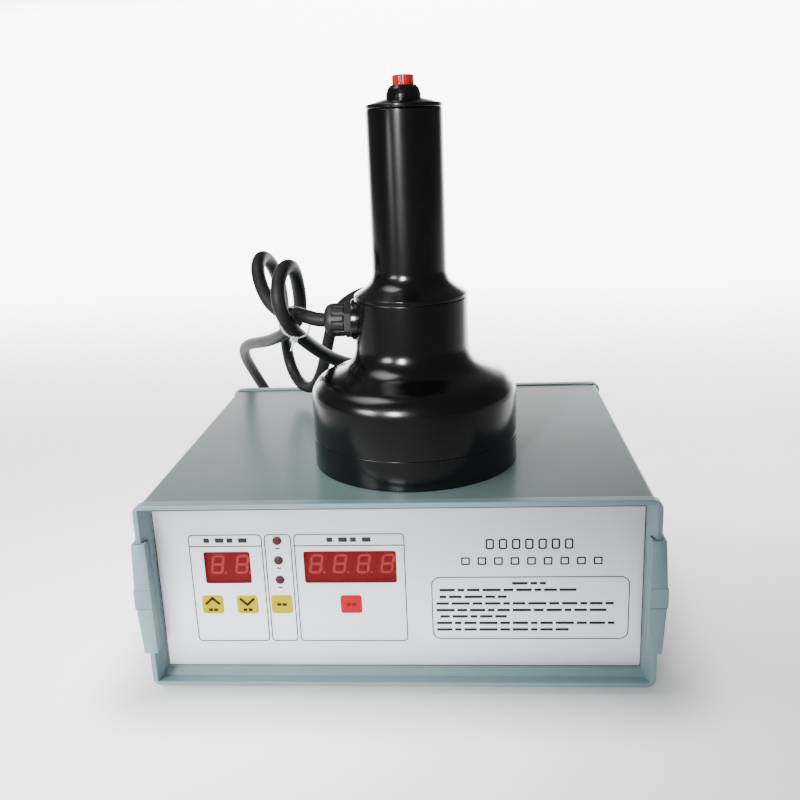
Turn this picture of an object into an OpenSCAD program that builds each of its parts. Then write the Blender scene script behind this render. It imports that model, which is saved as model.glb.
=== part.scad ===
// Induction cap sealer: a sheet-steel control box between two moulded bezels,
// with a hand-held sealing head that stands on top and a cord tied in a loose hank.
// Millimetres. +Z is up, the control panel faces -Y, the feet stand on Z = 0.

/* [Case] */
// Width over the bezels
case_w = 290; // [250:1:330]
// Height of the bezels
case_h = 114; // [106:1:130]
// Depth from the front rim to the rear rim
case_d = 244; // [236:1:300]
// Outer corner radius of a bezel
corner_r = 5.5; // [3:0.5:8]
// Wall of a bezel's rim at its front edge
rim_t = 3; // [2.4:0.2:4]
// Depth of a bezel's full-size rim
rim_d = 6.5; // [5:0.5:9]
// Depth from a rim's front edge to the panel behind it
recess_d = 11; // [9:0.5:14]
// Wall of the skirt that goes round a panel
skirt_t = 1; // [0.8:0.1:1.4]
// Width of a bezel's shoulder in front of the panel, at the sides
lip_side = 1.1; // [0.8:0.1:2]
// Height of a bezel's shoulder in front of the panel, above and below
lip_level = 3.6; // [2.6:0.2:5]
// Depth of the part of a bezel that slides into the steel shell
spigot_d = 23; // [20:0.5:30]
// Step from a bezel's side down to the steel shell
side_step = 3; // [2:0.2:4]
// Step from a bezel's top or bottom down to the steel shell
level_step = 0.8; // [0.4:0.1:1.5]
// Thickness of the steel sheet
sheet_t = 1.2; // [0.8:0.1:1.6]
// Outer radius of the cover's two bends
bend_r = 2; // [1.8:0.1:3]
// Height of the tray's side flanges
flange_h = 30; // [24:1:45]
// Width of a vent slot in the cover's sides
vent_w = 3; // [2:0.5:4]
// Length of a vent slot
vent_l = 36; // [20:1:45]
// Distance between vent slots
vent_pitch = 9; // [7:0.5:14]

/* [Side clips] */
// Height of a clip
clip_h = 68.4; // [56:0.2:80]
// Height of the raised band at a clip's middle
clip_band_h = 12; // [8:0.5:18]
// How far a clip stands out from the bezel's side at its ends
clip_end_out = 2.1; // [1.6:0.1:3]
// How far a clip stands out beside its band
clip_mid_out = 3.7; // [3.1:0.1:4.2]
// How far a clip's band stands out
clip_band_out = 4.4; // [4.3:0.1:6]
// Wall of a clip in front of the rim
clip_web = 2; // [1.4:0.1:3]
// Depth of a clip's outer leg
clip_leg_d = 9; // [8:0.5:12]
// Depth of a clip's inner leg
clip_inner_d = 6; // [4:0.5:6.5]
// Width of a clip inside the rim, measured at the front
clip_inner_w = 2.7; // [2.4:0.1:3.4]
// Reach of the hook behind the rim
clip_hook = 1.6; // [0.8:0.1:1.9]

/* [Feet and screws] */
// Height of the bezels above the table
foot_h = 4; // [3:0.5:8]
// Diameter of a rubber foot
foot_dia = 17; // [14:0.5:24]
// Distance of the feet from the shell's edges
foot_inset = 34; // [30:1:50]
// Radius of a screw's shank
screw_r = 1.45; // [1.4:0.05:1.6]
// Radius of a screw's head
screw_head_r = 2.8; // [2.6:0.1:3]
// Height of a screw's head
screw_head_h = 1.7; // [1.4:0.1:2]
// Distance of the bezel screws from the middle
bezel_screw_x = 104; // [90:1:108]

/* [Control panel] */
// Thickness of the aluminium panels
panel_t = 2; // [1.5:0.1:3]
// Thickness of the printed film
film_t = 0.4; // [0.2:0.1:0.6]
// Height of the display windows
window_h = 19.8; // [18:0.2:24]
// Height of the windows' middle above the bezel's bottom edge
window_z = 70.8; // [66:0.2:74]
// Width of the time window
time_w = 26.8; // [24:0.2:30]
// Middle of the time window
time_x = -97; // [-99:0.5:-94]
// Width of the count window
count_w = 52.8; // [50:0.2:56]
// Middle of the count window
count_x = -26.3; // [-29:0.5:-20]
// Corner radius of the windows
window_r = 1.4; // [0.6:0.2:3]
// Lip of the film over a display filter
filter_lip = 1; // [0.6:0.1:1.4]
// Distance between digits
digit_pitch = 13.8; // [11.6:0.1:14]
// Shift of the digits to the right of their windows' middles
digit_shift = 0.8; // [0:0.1:1]
// Depth of a digit module
digit_d = 8; // [7:0.2:10]
// Diameter of a level lamp
led_dia = 5; // [4:0.5:6]
// Column of the level lamps and of the power key
led_x = -67.2; // [-68:0.2:-65]
// Height of the top level lamp above the bezel's bottom edge
led_z = 87.4; // [86:0.2:89]
// Distance between level lamps
led_pitch = 12.2; // [11:0.2:12.6]
// Size of a printed key
key_size = 12.3; // [10:0.1:13]
// Height of the keys' middle above the bezel's bottom edge
key_z = 47.4; // [45:0.2:50]
// Column of the up key
up_x = -107.8; // [-109:0.2:-106]
// Column of the down key
down_x = -87.4; // [-89:0.2:-85]
// Column of the reset key
reset_x = -26.8; // [-32:0.2:-20]
// Radius of a key switch's stem
stem_r = 1.75; // [1.5:0.05:2]
// Travel of a key switch
key_travel = 0.3; // [0.2:0.05:0.4]
// Thickness of the circuit boards
board_t = 1.6; // [1.2:0.2:2.4]

/* [Rear panel] */
// Column of the mains inlet and of the rocker switch
inlet_x = -42; // [-50:1:-30]
// Height of the inlet's middle above the bezel's bottom edge
inlet_z = 38; // [34:0.5:42]
// Height of the rocker's middle above the bezel's bottom edge
rocker_z = 74; // [70:0.5:80]
// Column of the fan
fan_x = 70; // [60:1:80]
// Side of the fan's square frame
fan_size = 60; // [56:1:64]
// Depth of the fan
fan_d = 25; // [22:1:30]
// Distance between the fan's screws
fan_pitch = 50; // [48:0.5:52]
// Column of the rear cord gland
rear_gland_x = -106; // [-110:1:-90]
// Drop of the rear cord gland below the cover's top
rear_gland_drop = 61; // [45:1:70]

/* [Sealing head] */
// Distance of the head's axis to the right of the box's middle
head_x = 9.5; // [-20:0.5:30]
// Distance of the head's axis behind the front rim
head_d = 78.5; // [70:0.5:120]
// Radius of the head's base
base_r = 62; // [56:0.5:70]
// Height of the coil cover under the bell
coil_cover_h = 18; // [16:0.5:24]
// Height of the bell's straight lower wall above the seat
bell_wall_h = 42; // [36:0.5:48]
// Radius of the bell's rounded shoulder
shoulder_r = 13; // [10:0.5:16]
// Slope of the shoulder between its two curves
shoulder_slope = 20; // [14:1:26]
// Radius of the neck
neck_r = 33.6; // [32:0.2:37]
// Radius of the hollow curve between shoulder and neck
neck_fillet = 16; // [12:0.5:20]
// Height of the bell's top edge above the seat
bell_h = 100; // [98:0.5:112]
// Wall of the head's shells
shell_t = 3; // [2.4:0.1:3.4]
// Chamfer that makes the seams between the shells
seam_c = 0.9; // [0.4:0.1:1.4]
// Chamfer of the fine seam between coil cover and bell
fine_seam_c = 0.4; // [0.2:0.1:0.8]
// Radius of the grip
grip_r = 21.7; // [20:0.1:23]
// Height of the grip's top edge above the seat
grip_top = 206; // [190:1:225]
// Thickness of the handle's flange
flange_t = 2.2; // [1.6:0.1:3]
// Slope of the handle's flare
flare_slope = 33; // [28:1:38]
// Radius of the hollow curve between flare and grip
flare_fillet = 12; // [9:0.5:14]
// Depth of the spigots that join the shells
joint_d = 8; // [6:0.5:10]
// Height of the cap's rim
cap_rim_h = 2; // [1.4:0.1:3]
// Rise of the cap's cone
cap_rise = 2.6; // [1.8:0.1:4]
// Drop of the head's cord gland below the bell's top edge
gland_drop = 13; // [12.5:0.5:15]

/* [Push button] */
// Radius of the button
button_r = 6.2; // [5.6:0.1:6.6]
// Height of the button above its collar
button_proud = 5.6; // [4.5:0.1:7]
// Travel of the button
button_travel = 3; // [2:0.1:3.2]
// Radius of the collar at its foot
collar_r = 10; // [9.4:0.1:11]
// Height of the collar above the cap
collar_h = 7.2; // [6.6:0.1:8]
// Radius of the switch's threaded barrel
barrel_r = 6; // [5.6:0.1:6.4]
// Length of the barrel below the cap's top
barrel_l = 22; // [20:0.5:26]

/* [Coil] */
// Radius of the litz wire
litz_r = 2.5; // [2:0.1:2.8]
// Turns of the pancake coil
litz_turns = 6; // [5:1:6]
// Innermost radius of the coil
coil_in_r = 16; // [14:0.5:18]
// Thickness of the coil former
former_t = 3; // [2:0.2:4]

/* [Cord] */
// Radius of the cord
cord_r = 4.3; // [3.4:0.1:4.5]
// Sides of the cord's tube
cord_sides = 10; // [8:1:12]
// Rings along the cord's tube
cord_rings = 80; // [60:1:80]

/* [Fits] */
// Sliding gap between shell, bezels and panels
slip = 0.2; // [0.1:0.05:0.3]
// Gap round small pieces seated in a pocket
seat_gap = 0.1; // [0.05:0.05:0.2]
// Gap round a piece that travels
run_gap = 0.3; // [0.2:0.05:0.4]
// Gap round a turning pin or shaft
pin_gap = 0.05; // [0.02:0.01:0.08]

/* [Hidden] */
$fn = 64;

// Cord gland, measured along its axis from the face it is screwed to
gland_hex_t = 4;
gland_hex_af = 19;
gland_thread_r = 7.6;
gland_tail = 9;
gland_thread_l = 8;
gland_nut_r = 10;
gland_nut_l = 12.5;
gland_mouth_r = cord_r + run_gap;
gland_locknut_t = 3.5;
gland_reach = gland_hex_t + gland_nut_l;

// Case
rear_out = max(clip_web, gland_reach - recess_d);
front_y = -(case_d + rear_out - clip_web) / 2;
rear_y = front_y + case_d;
mid_y = (front_y + rear_y) / 2;
case_mid_z = foot_h + case_h / 2;
shell_hw = case_w / 2 - side_step;
shell_z0 = foot_h + level_step;
shell_z1 = foot_h + case_h - level_step;
spigot_hw = shell_hw - sheet_t - slip;
spigot_z0 = shell_z0 + sheet_t + slip;
spigot_z1 = shell_z1 - sheet_t - slip;
panel_hw = spigot_hw - skirt_t - slip;
panel_z0 = spigot_z0 + skirt_t + slip;
panel_z1 = spigot_z1 - skirt_t - slip;
mouth_hw = case_w / 2 - rim_t;
throat_hw = panel_hw - lip_side;
throat_z0 = panel_z0 + lip_level;
throat_z1 = panel_z1 - lip_level;
mouth_z0 = foot_h + rim_t;
mouth_z1 = foot_h + case_h - rim_t;
sheet_y0 = front_y + rim_d + seat_gap;
sheet_y1 = rear_y - rim_d - seat_gap;
flange_y0 = front_y + spigot_d + 1;
flange_y1 = rear_y - spigot_d - 1;
tray_hw = shell_hw - sheet_t - slip;
tray_top = shell_z0 + sheet_t;
bezel_screw_d = (recess_d + panel_t + spigot_d) / 2 + 0.5;
boss_w = 9;
boss_h = 12;
cover_screw_z = tray_top + 12;
vent_count = 9;

// Control panel
panel_back = recess_d + panel_t;
power_x = led_x;
key_xs = [up_x, down_x, power_x, reset_x];
window_abs_z = foot_h + window_z;
key_abs_z = foot_h + key_z;
led_abs_z = foot_h + led_z;
module_gap = 0.2;
board_d = panel_back + module_gap + digit_d;
digit_block_h = window_h - 0.8;
board_x0 = up_x - 10.2;
board_x1 = count_x + count_w / 2 + 4;
board_z0 = key_abs_z - 9;
board_z1 = led_abs_z + 6;
standoff_r = 3;
standoff_in = 4;
switch_side = 6;
switch_h = 4.3;
switch_face = board_d - switch_h;
stem_bore_d = 2.4;
stem_front = recess_d + run_gap;
stem_back = switch_face + stem_bore_d - key_travel - run_gap;
stem_hole_r = stem_r + 0.75;

// Rear panel
inlet_abs_z = foot_h + inlet_z;
rocker_abs_z = foot_h + rocker_z;
rear_gland_z = shell_z1 - rear_gland_drop;
inlet_flange = [31, 24];
inlet_body = [27, 19.6];
inlet_cavity = [24.4, 16.4];
inlet_flange_t = 3;
inlet_depth = 14;
inlet_floor = 1.6;
pin_w = 2;
pin_h = 4;
pin_pitch = 7;
pin_tab = 8;
rocker_flange = [15, 21.4];
rocker_body = [12.8, 19.2];
rocker_hole = [10.4, 17.6];
rocker_flange_t = 2;
rocker_depth = 12;
rocker_floor = 1.5;
rocker_angle = 10;
rocker_w = rocker_hole[0] - 2 * run_gap;
rocker_half = 7.4;
rocker_pivot_d = recess_d + 3;
rocker_pin_r = 1.4;
rocker_pin_l = 0.8;
fan_z = case_mid_z;
fan_bore_r = fan_size / 2 - 1.6;
fan_hub_r = 14;
fan_blades = 7;
fan_shaft_r = 1.5;
fan_screw_r = 2;
fan_base_t = 4;

// Circuit
circuit_gap = 8;
circuit_z = tray_top + circuit_gap;
circuit_w = 190;
circuit_l = 130;
circuit_x = -8;
circuit_y = mid_y - 4;
circuit_top = circuit_z + board_t;
sink_w = 96;
sink_l = 60;
sink_base = 6;
sink_fin_h = 30;
sink_fins = 11;
sink_x = circuit_x + 40;
sink_y = circuit_y + 22;
transistor = [16, 5, 21];
transistor_off = 24;
capacitor_r = 15;
capacitor_h = 45;
capacitor_pitch = 36;
capacitor_in = 30;
capacitor_back = 34;
core_w = 54;
core_d = 28;
core_h = 40;
core_leg = 9;
core_foot_h = 4;
core_in = 46;
core_front = 30;
coil_gap = 1;

// Sealing head, heights measured from the cover's top
bell_in = base_r - shell_t;
shoulder_end = [
    base_r - shoulder_r * (1 - sin(shoulder_slope)),
    bell_wall_h + shoulder_r * cos(shoulder_slope)
];
neck_start_r = neck_r + neck_fillet * (1 - sin(shoulder_slope));
neck_start_h = shoulder_end[1] + (shoulder_end[0] - neck_start_r) * tan(shoulder_slope);
neck_centre = [neck_r + neck_fillet, neck_start_h + neck_fillet * cos(shoulder_slope)];
flange_r = neck_r - 0.2;
flange_top = bell_h + flange_t;
flare_end_r = grip_r + flare_fillet * (1 - sin(flare_slope));
flare_end_h = flange_top + (flange_r - flare_end_r) * tan(flare_slope);
flare_centre = [grip_r + flare_fillet, flare_end_h + flare_fillet * cos(flare_slope)];
grip_in = grip_r - shell_t;
neck_in = neck_r - shell_t;
lip_in = bell_in - slip - 2;
floor_t = 3;
cap_z0 = grip_top;
cap_rim_z = cap_z0 + seam_c;
cap_top = cap_rim_z + cap_rim_h + cap_rise;
cap_under = cap_top - 4;
collar_top = cap_top + collar_h;
button_top = collar_top + button_proud;
button_foot = collar_top - 2.4;
collar_floor = button_foot - button_travel - run_gap;
button_hole_r = button_r + run_gap;
stem_guide_r = 2.4;
stem_stop_r = 3.3;
stem_stop_t = 1.2;
barrel_bore_r = 4.2;
barrel_foot = cap_top - barrel_l;
spring_seat = barrel_foot + 6;
spring_wire = 0.4;
spring_r = 3.35;
spring_turns = 6;
nut_t = 4;
nut_af = 16;
gland_h = bell_h - gland_drop;
gland_pad_r = 12.2;
gland_pad_x = neck_r + 1.9;
gland_pad_wall = 3.5;
locknut_pocket_r = gland_hex_af / 2 / cos(30) + 0.5;
former_r = lip_in - 0.6;
former_skirt = 2;
former_z = floor_t + 2 * litz_r + 0.4;
ferrite = [34, 9, 6];
ferrite_count = 8;
litz_pitch = 2 * litz_r + 0.6;

// Cord route: x from the box's middle, depth behind the front rim, height above the cover's top
route = [
    [-36, 78.5, 87], [-48, 78.5, 87], [-57, 84, 90], [-69, 90, 88], [-81, 96, 96], [-89, 106, 115],
    [-88, 124, 123], [-85, 143, 113], [-83, 154, 96], [-85, 180, 77], [-89, 212, 58], [-91, 231, 34],
    [-84, 228, 12], [-72, 210, 4], [-61, 188, 10], [-55, 177, 33], [-53, 177, 56], [-47, 168, 78],
    [-29, 153, 91], [-5, 142, 96], [22, 143, 91], [40, 153, 67], [23, 167, 41], [-8, 165, 36],
    [-32, 148, 43], [-49, 120, 61], [-59, 91, 76], [-64, 75, 84], [-68, 69, 96], [-69, 72, 109],
    [-67, 82, 119], [-63, 97, 119], [-64, 114, 104], [-64, 119, 92], [-66, 124, 80], [-79, 145, 66],
    [-104, 189, 50], [-131, 240, 39], [-147, 282, 22], [-140, 301, -5], [-125, 304, -35], [-110, 297, -60],
    [-106, 277, -66], [-106, 258, -61], [-106, 244, -61]
];
// Places along the route, counted in its points, where the tie holds two strands
tie_low = 26.65;
tie_high = 2.25;
tie_w = 17;
tie_corner = 7;
tie_band = 3;
tie_t = 0.8;
tie_tail = 9;

// Solids drawn as a flat shape and given a depth along one axis
module slab_y(d0, d1) {
    translate([0, d1, 0]) rotate([90, 0, 0]) linear_extrude(height = d1 - d0) children();
}

module slab_x(x0, x1) {
    translate([x0, 0, 0]) rotate([90, 0, 90]) linear_extrude(height = x1 - x0) children();
}

module slab_z(z0, z1) {
    translate([0, 0, z0]) linear_extrude(height = z1 - z0) children();
}

module rod_y(r, d0, d1) {
    translate([0, d0, 0]) rotate([-90, 0, 0]) cylinder(r = r, h = d1 - d0);
}

module rod_x(r, x0, x1) {
    translate([x0, 0, 0]) rotate([0, 90, 0]) cylinder(r = r, h = x1 - x0);
}

module box(low, high) {
    translate(low) cube(high - low);
}

module rounded(w, h, r) {
    square([w - 2 * r, h], center = true);
    square([w, h - 2 * r], center = true);
    for (sx = [-1, 1], sy = [-1, 1]) {
        translate([sx * (w / 2 - r), sy * (h / 2 - r)]) circle(r);
    }
}

module slot(w, h) {
    square([w, h - w], center = true);
    for (s = [-1, 1]) {
        translate([0, s * (h - w) / 2]) circle(w / 2);
    }
}

module span(x0, x1, z0, z1) {
    translate([x0, z0]) square([x1 - x0, z1 - z0]);
}

module hexagon(af) {
    circle(r = af / 2 / cos(30), $fn = 6);
}

// Places a piece drawn with depth measured inwards from a rim
module from_front() {
    translate([0, front_y, 0]) children();
}

module from_rear() {
    translate([0, rear_y, 0]) mirror([0, 1, 0]) children();
}

module at_head() {
    translate([head_x, front_y + head_d, shell_z1]) children();
}

function arc(c, r, a0, a1, n) = [
    for (i = [0 : n]) let (a = a0 + (a1 - a0) * i / n) [c[0] + r * cos(a), c[1] + r * sin(a)]
];

// Tube faces over rings of points, closed at both ends
function tube_faces(rings, sides) = concat(
    [[for (j = [0 : sides - 1]) j]],
    [for (i = [0 : rings - 2], j = [0 : sides - 1]) let (k = (j + 1) % sides, a = i * sides, b = a + sides)
        [a + j, b + j, b + k]],
    [for (i = [0 : rings - 2], j = [0 : sides - 1]) let (k = (j + 1) % sides, a = i * sides, b = a + sides)
        [a + j, b + k, a + k]],
    [[for (j = [sides - 1 : -1 : 0]) (rings - 1) * sides + j]]
);

// Wire that turns about Z: radius and height change evenly from start to end
module wound_wire(r0, r1, z0, z1, turns, wire, per_turn, sides) {
    rings = turns * per_turn + 1;
    points = [for (i = [0 : rings - 1], j = [0 : sides - 1])
        let (u = i / (rings - 1), a = 360 * turns * u, b = 360 * j / sides,
            r = r0 + (r1 - r0) * u + wire * cos(b))
        [r * cos(a), r * sin(a), z0 + (z1 - z0) * u + wire * sin(b)]];
    polyhedron(points, tube_faces(rings, sides), convexity = 10);
}

module pan_screw(length, shank = screw_r, head = screw_head_r, head_h = screw_head_h) {
    cylinder(r = head, h = head_h);
    translate([0, 0, -length]) cylinder(r = shank, h = length + head_h / 2);
}

// Bezels
function wall_hw(d) = mouth_hw - (mouth_hw - throat_hw) * d / recess_d;

module bezel_mouth() {
    intersection() {
        slab_z(foot_h, foot_h + case_h) polygon([
            [-wall_hw(-1), -1], [wall_hw(-1), -1], [throat_hw, recess_d], [-throat_hw, recess_d]
        ]);
        slab_x(-case_w / 2, case_w / 2) polygon([
            [-1, mouth_z0], [rim_d, mouth_z0], [recess_d, throat_z0],
            [recess_d, throat_z1], [rim_d, mouth_z1], [-1, mouth_z1]
        ]);
    }
}

module each_boss() {
    for (s = [-1, 1]) {
        translate([s * bezel_screw_x, bezel_screw_d, spigot_z0]) children();
    }
}

module bezel() {
    difference() {
        union() {
            difference() {
                union() {
                    slab_y(0, rim_d) translate([0, case_mid_z]) rounded(case_w, case_h, corner_r);
                    slab_y(rim_d, spigot_d) span(-spigot_hw, spigot_hw, spigot_z0, spigot_z1);
                }
                bezel_mouth();
                slab_y(recess_d, spigot_d + 1)
                    span(-panel_hw - slip, panel_hw + slip, panel_z0 - slip, panel_z1 + slip);
            }
            each_boss() box([-boss_w / 2, panel_back + run_gap - bezel_screw_d, 0],
                [boss_w / 2, spigot_d - bezel_screw_d, boss_h]);
        }
        each_boss() translate([0, 0, -1]) cylinder(r = screw_r + seat_gap, h = boss_h);
    }
}

module front_bezel() {
    color("lightsteelblue") from_front() bezel();
}

module rear_bezel() {
    color("lightsteelblue") from_rear() bezel();
}

// Side clips: a channel pushed over the rim's side wall
module clip_plan() {
    side = case_w / 2;
    polygon([
        [mouth_hw - clip_inner_w, -clip_web], [side + clip_band_out, -clip_web],
        [side + clip_band_out, clip_leg_d], [side - clip_hook, clip_leg_d],
        [side - clip_hook, rim_d + seat_gap], [side + seat_gap, rim_d + seat_gap],
        [side + seat_gap, 0], [mouth_hw - seat_gap, 0],
        [wall_hw(clip_inner_d) - seat_gap, clip_inner_d],
        [mouth_hw - clip_inner_w, clip_inner_d]
    ]);
}

module clip_front() {
    side = case_w / 2;
    inner = mouth_hw - clip_inner_w - 1;
    translate([0, case_mid_z]) polygon([
        [inner, -clip_h / 2], [side + clip_end_out, -clip_h / 2],
        [side + clip_mid_out, -clip_band_h / 2], [side + clip_band_out, -clip_band_h / 2],
        [side + clip_band_out, clip_band_h / 2], [side + clip_mid_out, clip_band_h / 2],
        [side + clip_end_out, clip_h / 2], [inner, clip_h / 2]
    ]);
}

module right_clip() {
    intersection() {
        slab_z(case_mid_z - clip_h / 2, case_mid_z + clip_h / 2) clip_plan();
        slab_y(-clip_web, clip_leg_d) clip_front();
    }
}

module front_right_clip() {
    color("lightsteelblue") from_front() right_clip();
}

module front_left_clip() {
    color("lightsteelblue") from_front() mirror([1, 0, 0]) right_clip();
}

module rear_right_clip() {
    color("lightsteelblue") from_rear() right_clip();
}

module rear_left_clip() {
    color("lightsteelblue") from_rear() mirror([1, 0, 0]) right_clip();
}

// Steel shell
module arch(hw, z0, z1, r) {
    span(-hw, hw, z0, z1 - r);
    span(-hw + r, hw - r, z0, z1);
    for (s = [-1, 1]) {
        translate([s * (hw - r), z1 - r]) circle(r);
    }
}

module each_cover_screw() {
    for (s = [-1, 1], y = [flange_y0 + 18, mid_y, flange_y1 - 18]) {
        translate([s * shell_hw, y, cover_screw_z]) rotate([0, s * 90, 0]) children();
    }
}

module vent_row() {
    for (i = [0 : vent_count - 1]) {
        translate([mid_y + (i - (vent_count - 1) / 2) * vent_pitch, case_mid_z + 12])
            slot(vent_w, vent_l);
    }
}

module top_cover() {
    color("cadetblue") difference() {
        slab_y(sheet_y0, sheet_y1) difference() {
            arch(shell_hw, shell_z0, shell_z1, bend_r);
            arch(shell_hw - sheet_t, shell_z0 - 1, shell_z1 - sheet_t, bend_r - sheet_t);
        }
        slab_x(-shell_hw - 1, shell_hw + 1) vent_row();
        each_cover_screw() translate([0, 0, -sheet_t - 1]) cylinder(r = screw_r + seat_gap, h = sheet_t + 2);
    }
}

module each_foot() {
    for (sx = [-1, 1], sy = [-1, 1]) {
        translate([sx * (shell_hw - foot_inset), mid_y + sy * ((sheet_y1 - sheet_y0) / 2 - foot_inset), 0])
            children();
    }
}

module each_bezel_screw() {
    for (s = [-1, 1], y = [front_y + bezel_screw_d, rear_y - bezel_screw_d]) {
        translate([s * bezel_screw_x, y, 0]) children();
    }
}

module each_circuit_post() {
    for (sx = [-1, 1], sy = [-1, 1]) {
        translate([circuit_x + sx * (circuit_w / 2 - 6), circuit_y + sy * (circuit_l / 2 - 6), 0]) children();
    }
}

module bottom_tray() {
    color("cadetblue") difference() {
        union() {
            slab_z(shell_z0, tray_top) span(-tray_hw, tray_hw, sheet_y0, sheet_y1);
            for (s = [-1, 1]) {
                slab_x(s > 0 ? tray_hw - sheet_t : -tray_hw, s > 0 ? tray_hw : sheet_t - tray_hw)
                    span(flange_y0, flange_y1, shell_z0, shell_z0 + flange_h);
            }
        }
        each_foot() translate([0, 0, shell_z0 - 1]) cylinder(r = screw_r + seat_gap, h = sheet_t + 2);
        each_bezel_screw() translate([0, 0, shell_z0 - 1]) cylinder(r = screw_r + seat_gap, h = sheet_t + 2);
        each_cover_screw() translate([0, 0, -2 * sheet_t - slip - 1])
            cylinder(r = screw_r + seat_gap, h = sheet_t + slip + 2);
    }
}

module feet() {
    color("black") each_foot() difference() {
        rotate_extrude() polygon([
            [0, 0], [foot_dia / 2 - 1, 0], [foot_dia / 2, 1], [foot_dia / 2 - 0.8, shell_z0], [0, shell_z0]
        ]);
        translate([0, 0, -1]) cylinder(r = screw_head_r + 2 * slip, h = 1 + screw_head_h + 1);
        cylinder(r = screw_r + slip, h = shell_z0 + 1);
    }
}

module foot_screws() {
    color("silver") each_foot() translate([0, 0, 1 + screw_head_h]) mirror([0, 0, 1])
        pan_screw(tray_top - screw_head_h + 1);
}

module cover_screws() {
    color("silver") each_cover_screw() pan_screw(2 * sheet_t + slip + 3);
}

module bezel_screws() {
    color("silver") each_bezel_screw() translate([0, 0, shell_z0]) mirror([0, 0, 1]) pan_screw(boss_h - 3);
}

// Control panel
module window_shape(x, w, grow) {
    translate([x, window_abs_z]) rounded(w + 2 * grow, window_h + 2 * grow, window_r);
}

module each_led() {
    for (i = [0 : 2]) {
        translate([led_x, 0, led_abs_z - i * led_pitch]) children();
    }
}

module each_key() {
    for (x = key_xs) {
        translate([x, 0, key_abs_z]) children();
    }
}

module each_display_post() {
    for (x = [board_x0 + standoff_in, board_x1 - standoff_in]) {
        for (z = [board_z0 + standoff_in, board_z1 - standoff_in]) {
            translate([x, 0, z]) children();
        }
    }
}

module front_panel() {
    color("gainsboro") from_front() difference() {
        slab_y(recess_d, panel_back) span(-panel_hw, panel_hw, panel_z0, panel_z1);
        slab_y(recess_d - 1, panel_back + 1) {
            window_shape(time_x, time_w, filter_lip);
            window_shape(count_x, count_w, filter_lip);
        }
        each_led() rod_y(led_dia / 2 + slip, recess_d - 1, panel_back + 1);
        each_key() rod_y(stem_hole_r, recess_d - 1, panel_back + 1);
    }
}

module panel_overlay() {
    color("whitesmoke") from_front() difference() {
        slab_y(recess_d - film_t, recess_d)
            span(-throat_hw + slip, throat_hw - slip, throat_z0 + slip, throat_z1 - slip);
        slab_y(recess_d - 1, recess_d + 1) {
            window_shape(time_x, time_w, 0);
            window_shape(count_x, count_w, 0);
        }
        each_led() rod_y(led_dia / 2 + slip, recess_d - 1, recess_d + 1);
    }
}

module time_filter() {
    color("firebrick") from_front() slab_y(recess_d, panel_back)
        window_shape(time_x, time_w, filter_lip - seat_gap);
}

module count_filter() {
    color("firebrick") from_front() slab_y(recess_d, panel_back)
        window_shape(count_x, count_w, filter_lip - seat_gap);
}

module digit_block(x, digits) {
    from_front() slab_y(panel_back + module_gap, board_d) translate([x + digit_shift, window_abs_z])
        square([digits * digit_pitch, digit_block_h], center = true);
}

module time_display() {
    color("indianred") digit_block(time_x, 2);
}

module count_display() {
    color("indianred") digit_block(count_x, 4);
}

module level_leds() {
    color("maroon") from_front() each_led() {
        rod_y(led_dia / 2, recess_d - film_t, panel_back + 1.5);
        rod_y(led_dia / 2 + 0.4, panel_back + 0.3, panel_back + 1.5);
        for (s = [-1, 1]) {
            box([s * 1.27 - 0.25, panel_back + 1, -0.25], [s * 1.27 + 0.25, board_d, 0.25]);
        }
    }
}

module display_board() {
    color("darkgreen") from_front() difference() {
        slab_y(board_d, board_d + board_t) span(board_x0, board_x1, board_z0, board_z1);
        each_display_post() rod_y(screw_r, board_d - 1, board_d + board_t + 1);
    }
}

module display_standoffs() {
    color("silver") from_front() each_display_post() {
        rod_y(standoff_r, panel_back, board_d);
        rod_y(screw_r - seat_gap, board_d - 1, board_d + board_t + 2);
    }
}

module tact_switches() {
    color("dimgray") from_front() each_key() difference() {
        box([-switch_side / 2, switch_face, -switch_side / 2], [switch_side / 2, board_d, switch_side / 2]);
        rod_y(stem_r + seat_gap, switch_face - 1, switch_face + stem_bore_d);
    }
}

module key_stem(x) {
    color("black") from_front() translate([x, 0, key_abs_z]) {
        rod_y(stem_r, stem_front, stem_back);
    }
}

module up_key_stem() {
    key_stem(up_x);
}

module down_key_stem() {
    key_stem(down_x);
}

module power_key_stem() {
    key_stem(power_x);
}

module reset_key_stem() {
    key_stem(reset_x);
}

// Rear panel
module each_fan_hole() {
    for (sx = [-1, 1], sz = [-1, 1]) {
        translate([fan_x + sx * fan_pitch / 2, 0, fan_z + sz * fan_pitch / 2]) children();
    }
}

module fan_grille() {
    for (r = [7, 13, 19, 25]) {
        difference() {
            circle(r + 2);
            circle(r - 2);
            for (a = [45, 135]) {
                rotate(a) square([fan_size, 3], center = true);
            }
        }
    }
}

module rear_panel() {
    color("silver") from_rear() difference() {
        slab_y(recess_d, panel_back) span(-panel_hw, panel_hw, panel_z0, panel_z1);
        slab_y(recess_d - 1, panel_back + 1) {
            translate([inlet_x, inlet_abs_z])
                rounded(inlet_body[0] + 2 * slip, inlet_body[1] + 2 * slip, 2);
            translate([inlet_x, rocker_abs_z])
                rounded(rocker_body[0] + 2 * slip, rocker_body[1] + 2 * slip, 1);
            translate([fan_x, fan_z]) fan_grille();
        }
        each_fan_hole() rod_y(fan_screw_r + slip, recess_d - 1, panel_back + 1);
        translate([rear_gland_x, 0, rear_gland_z])
            rod_y(gland_thread_r + slip, recess_d - 1, panel_back + 1);
    }
}

module inlet_socket() {
    w = inlet_cavity[0] / 2;
    h = inlet_cavity[1] / 2;
    c = 4.4;
    polygon([[-w, -h], [w, -h], [w, h - c], [w - c, h], [c - w, h], [-w, h - c]]);
}

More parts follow.
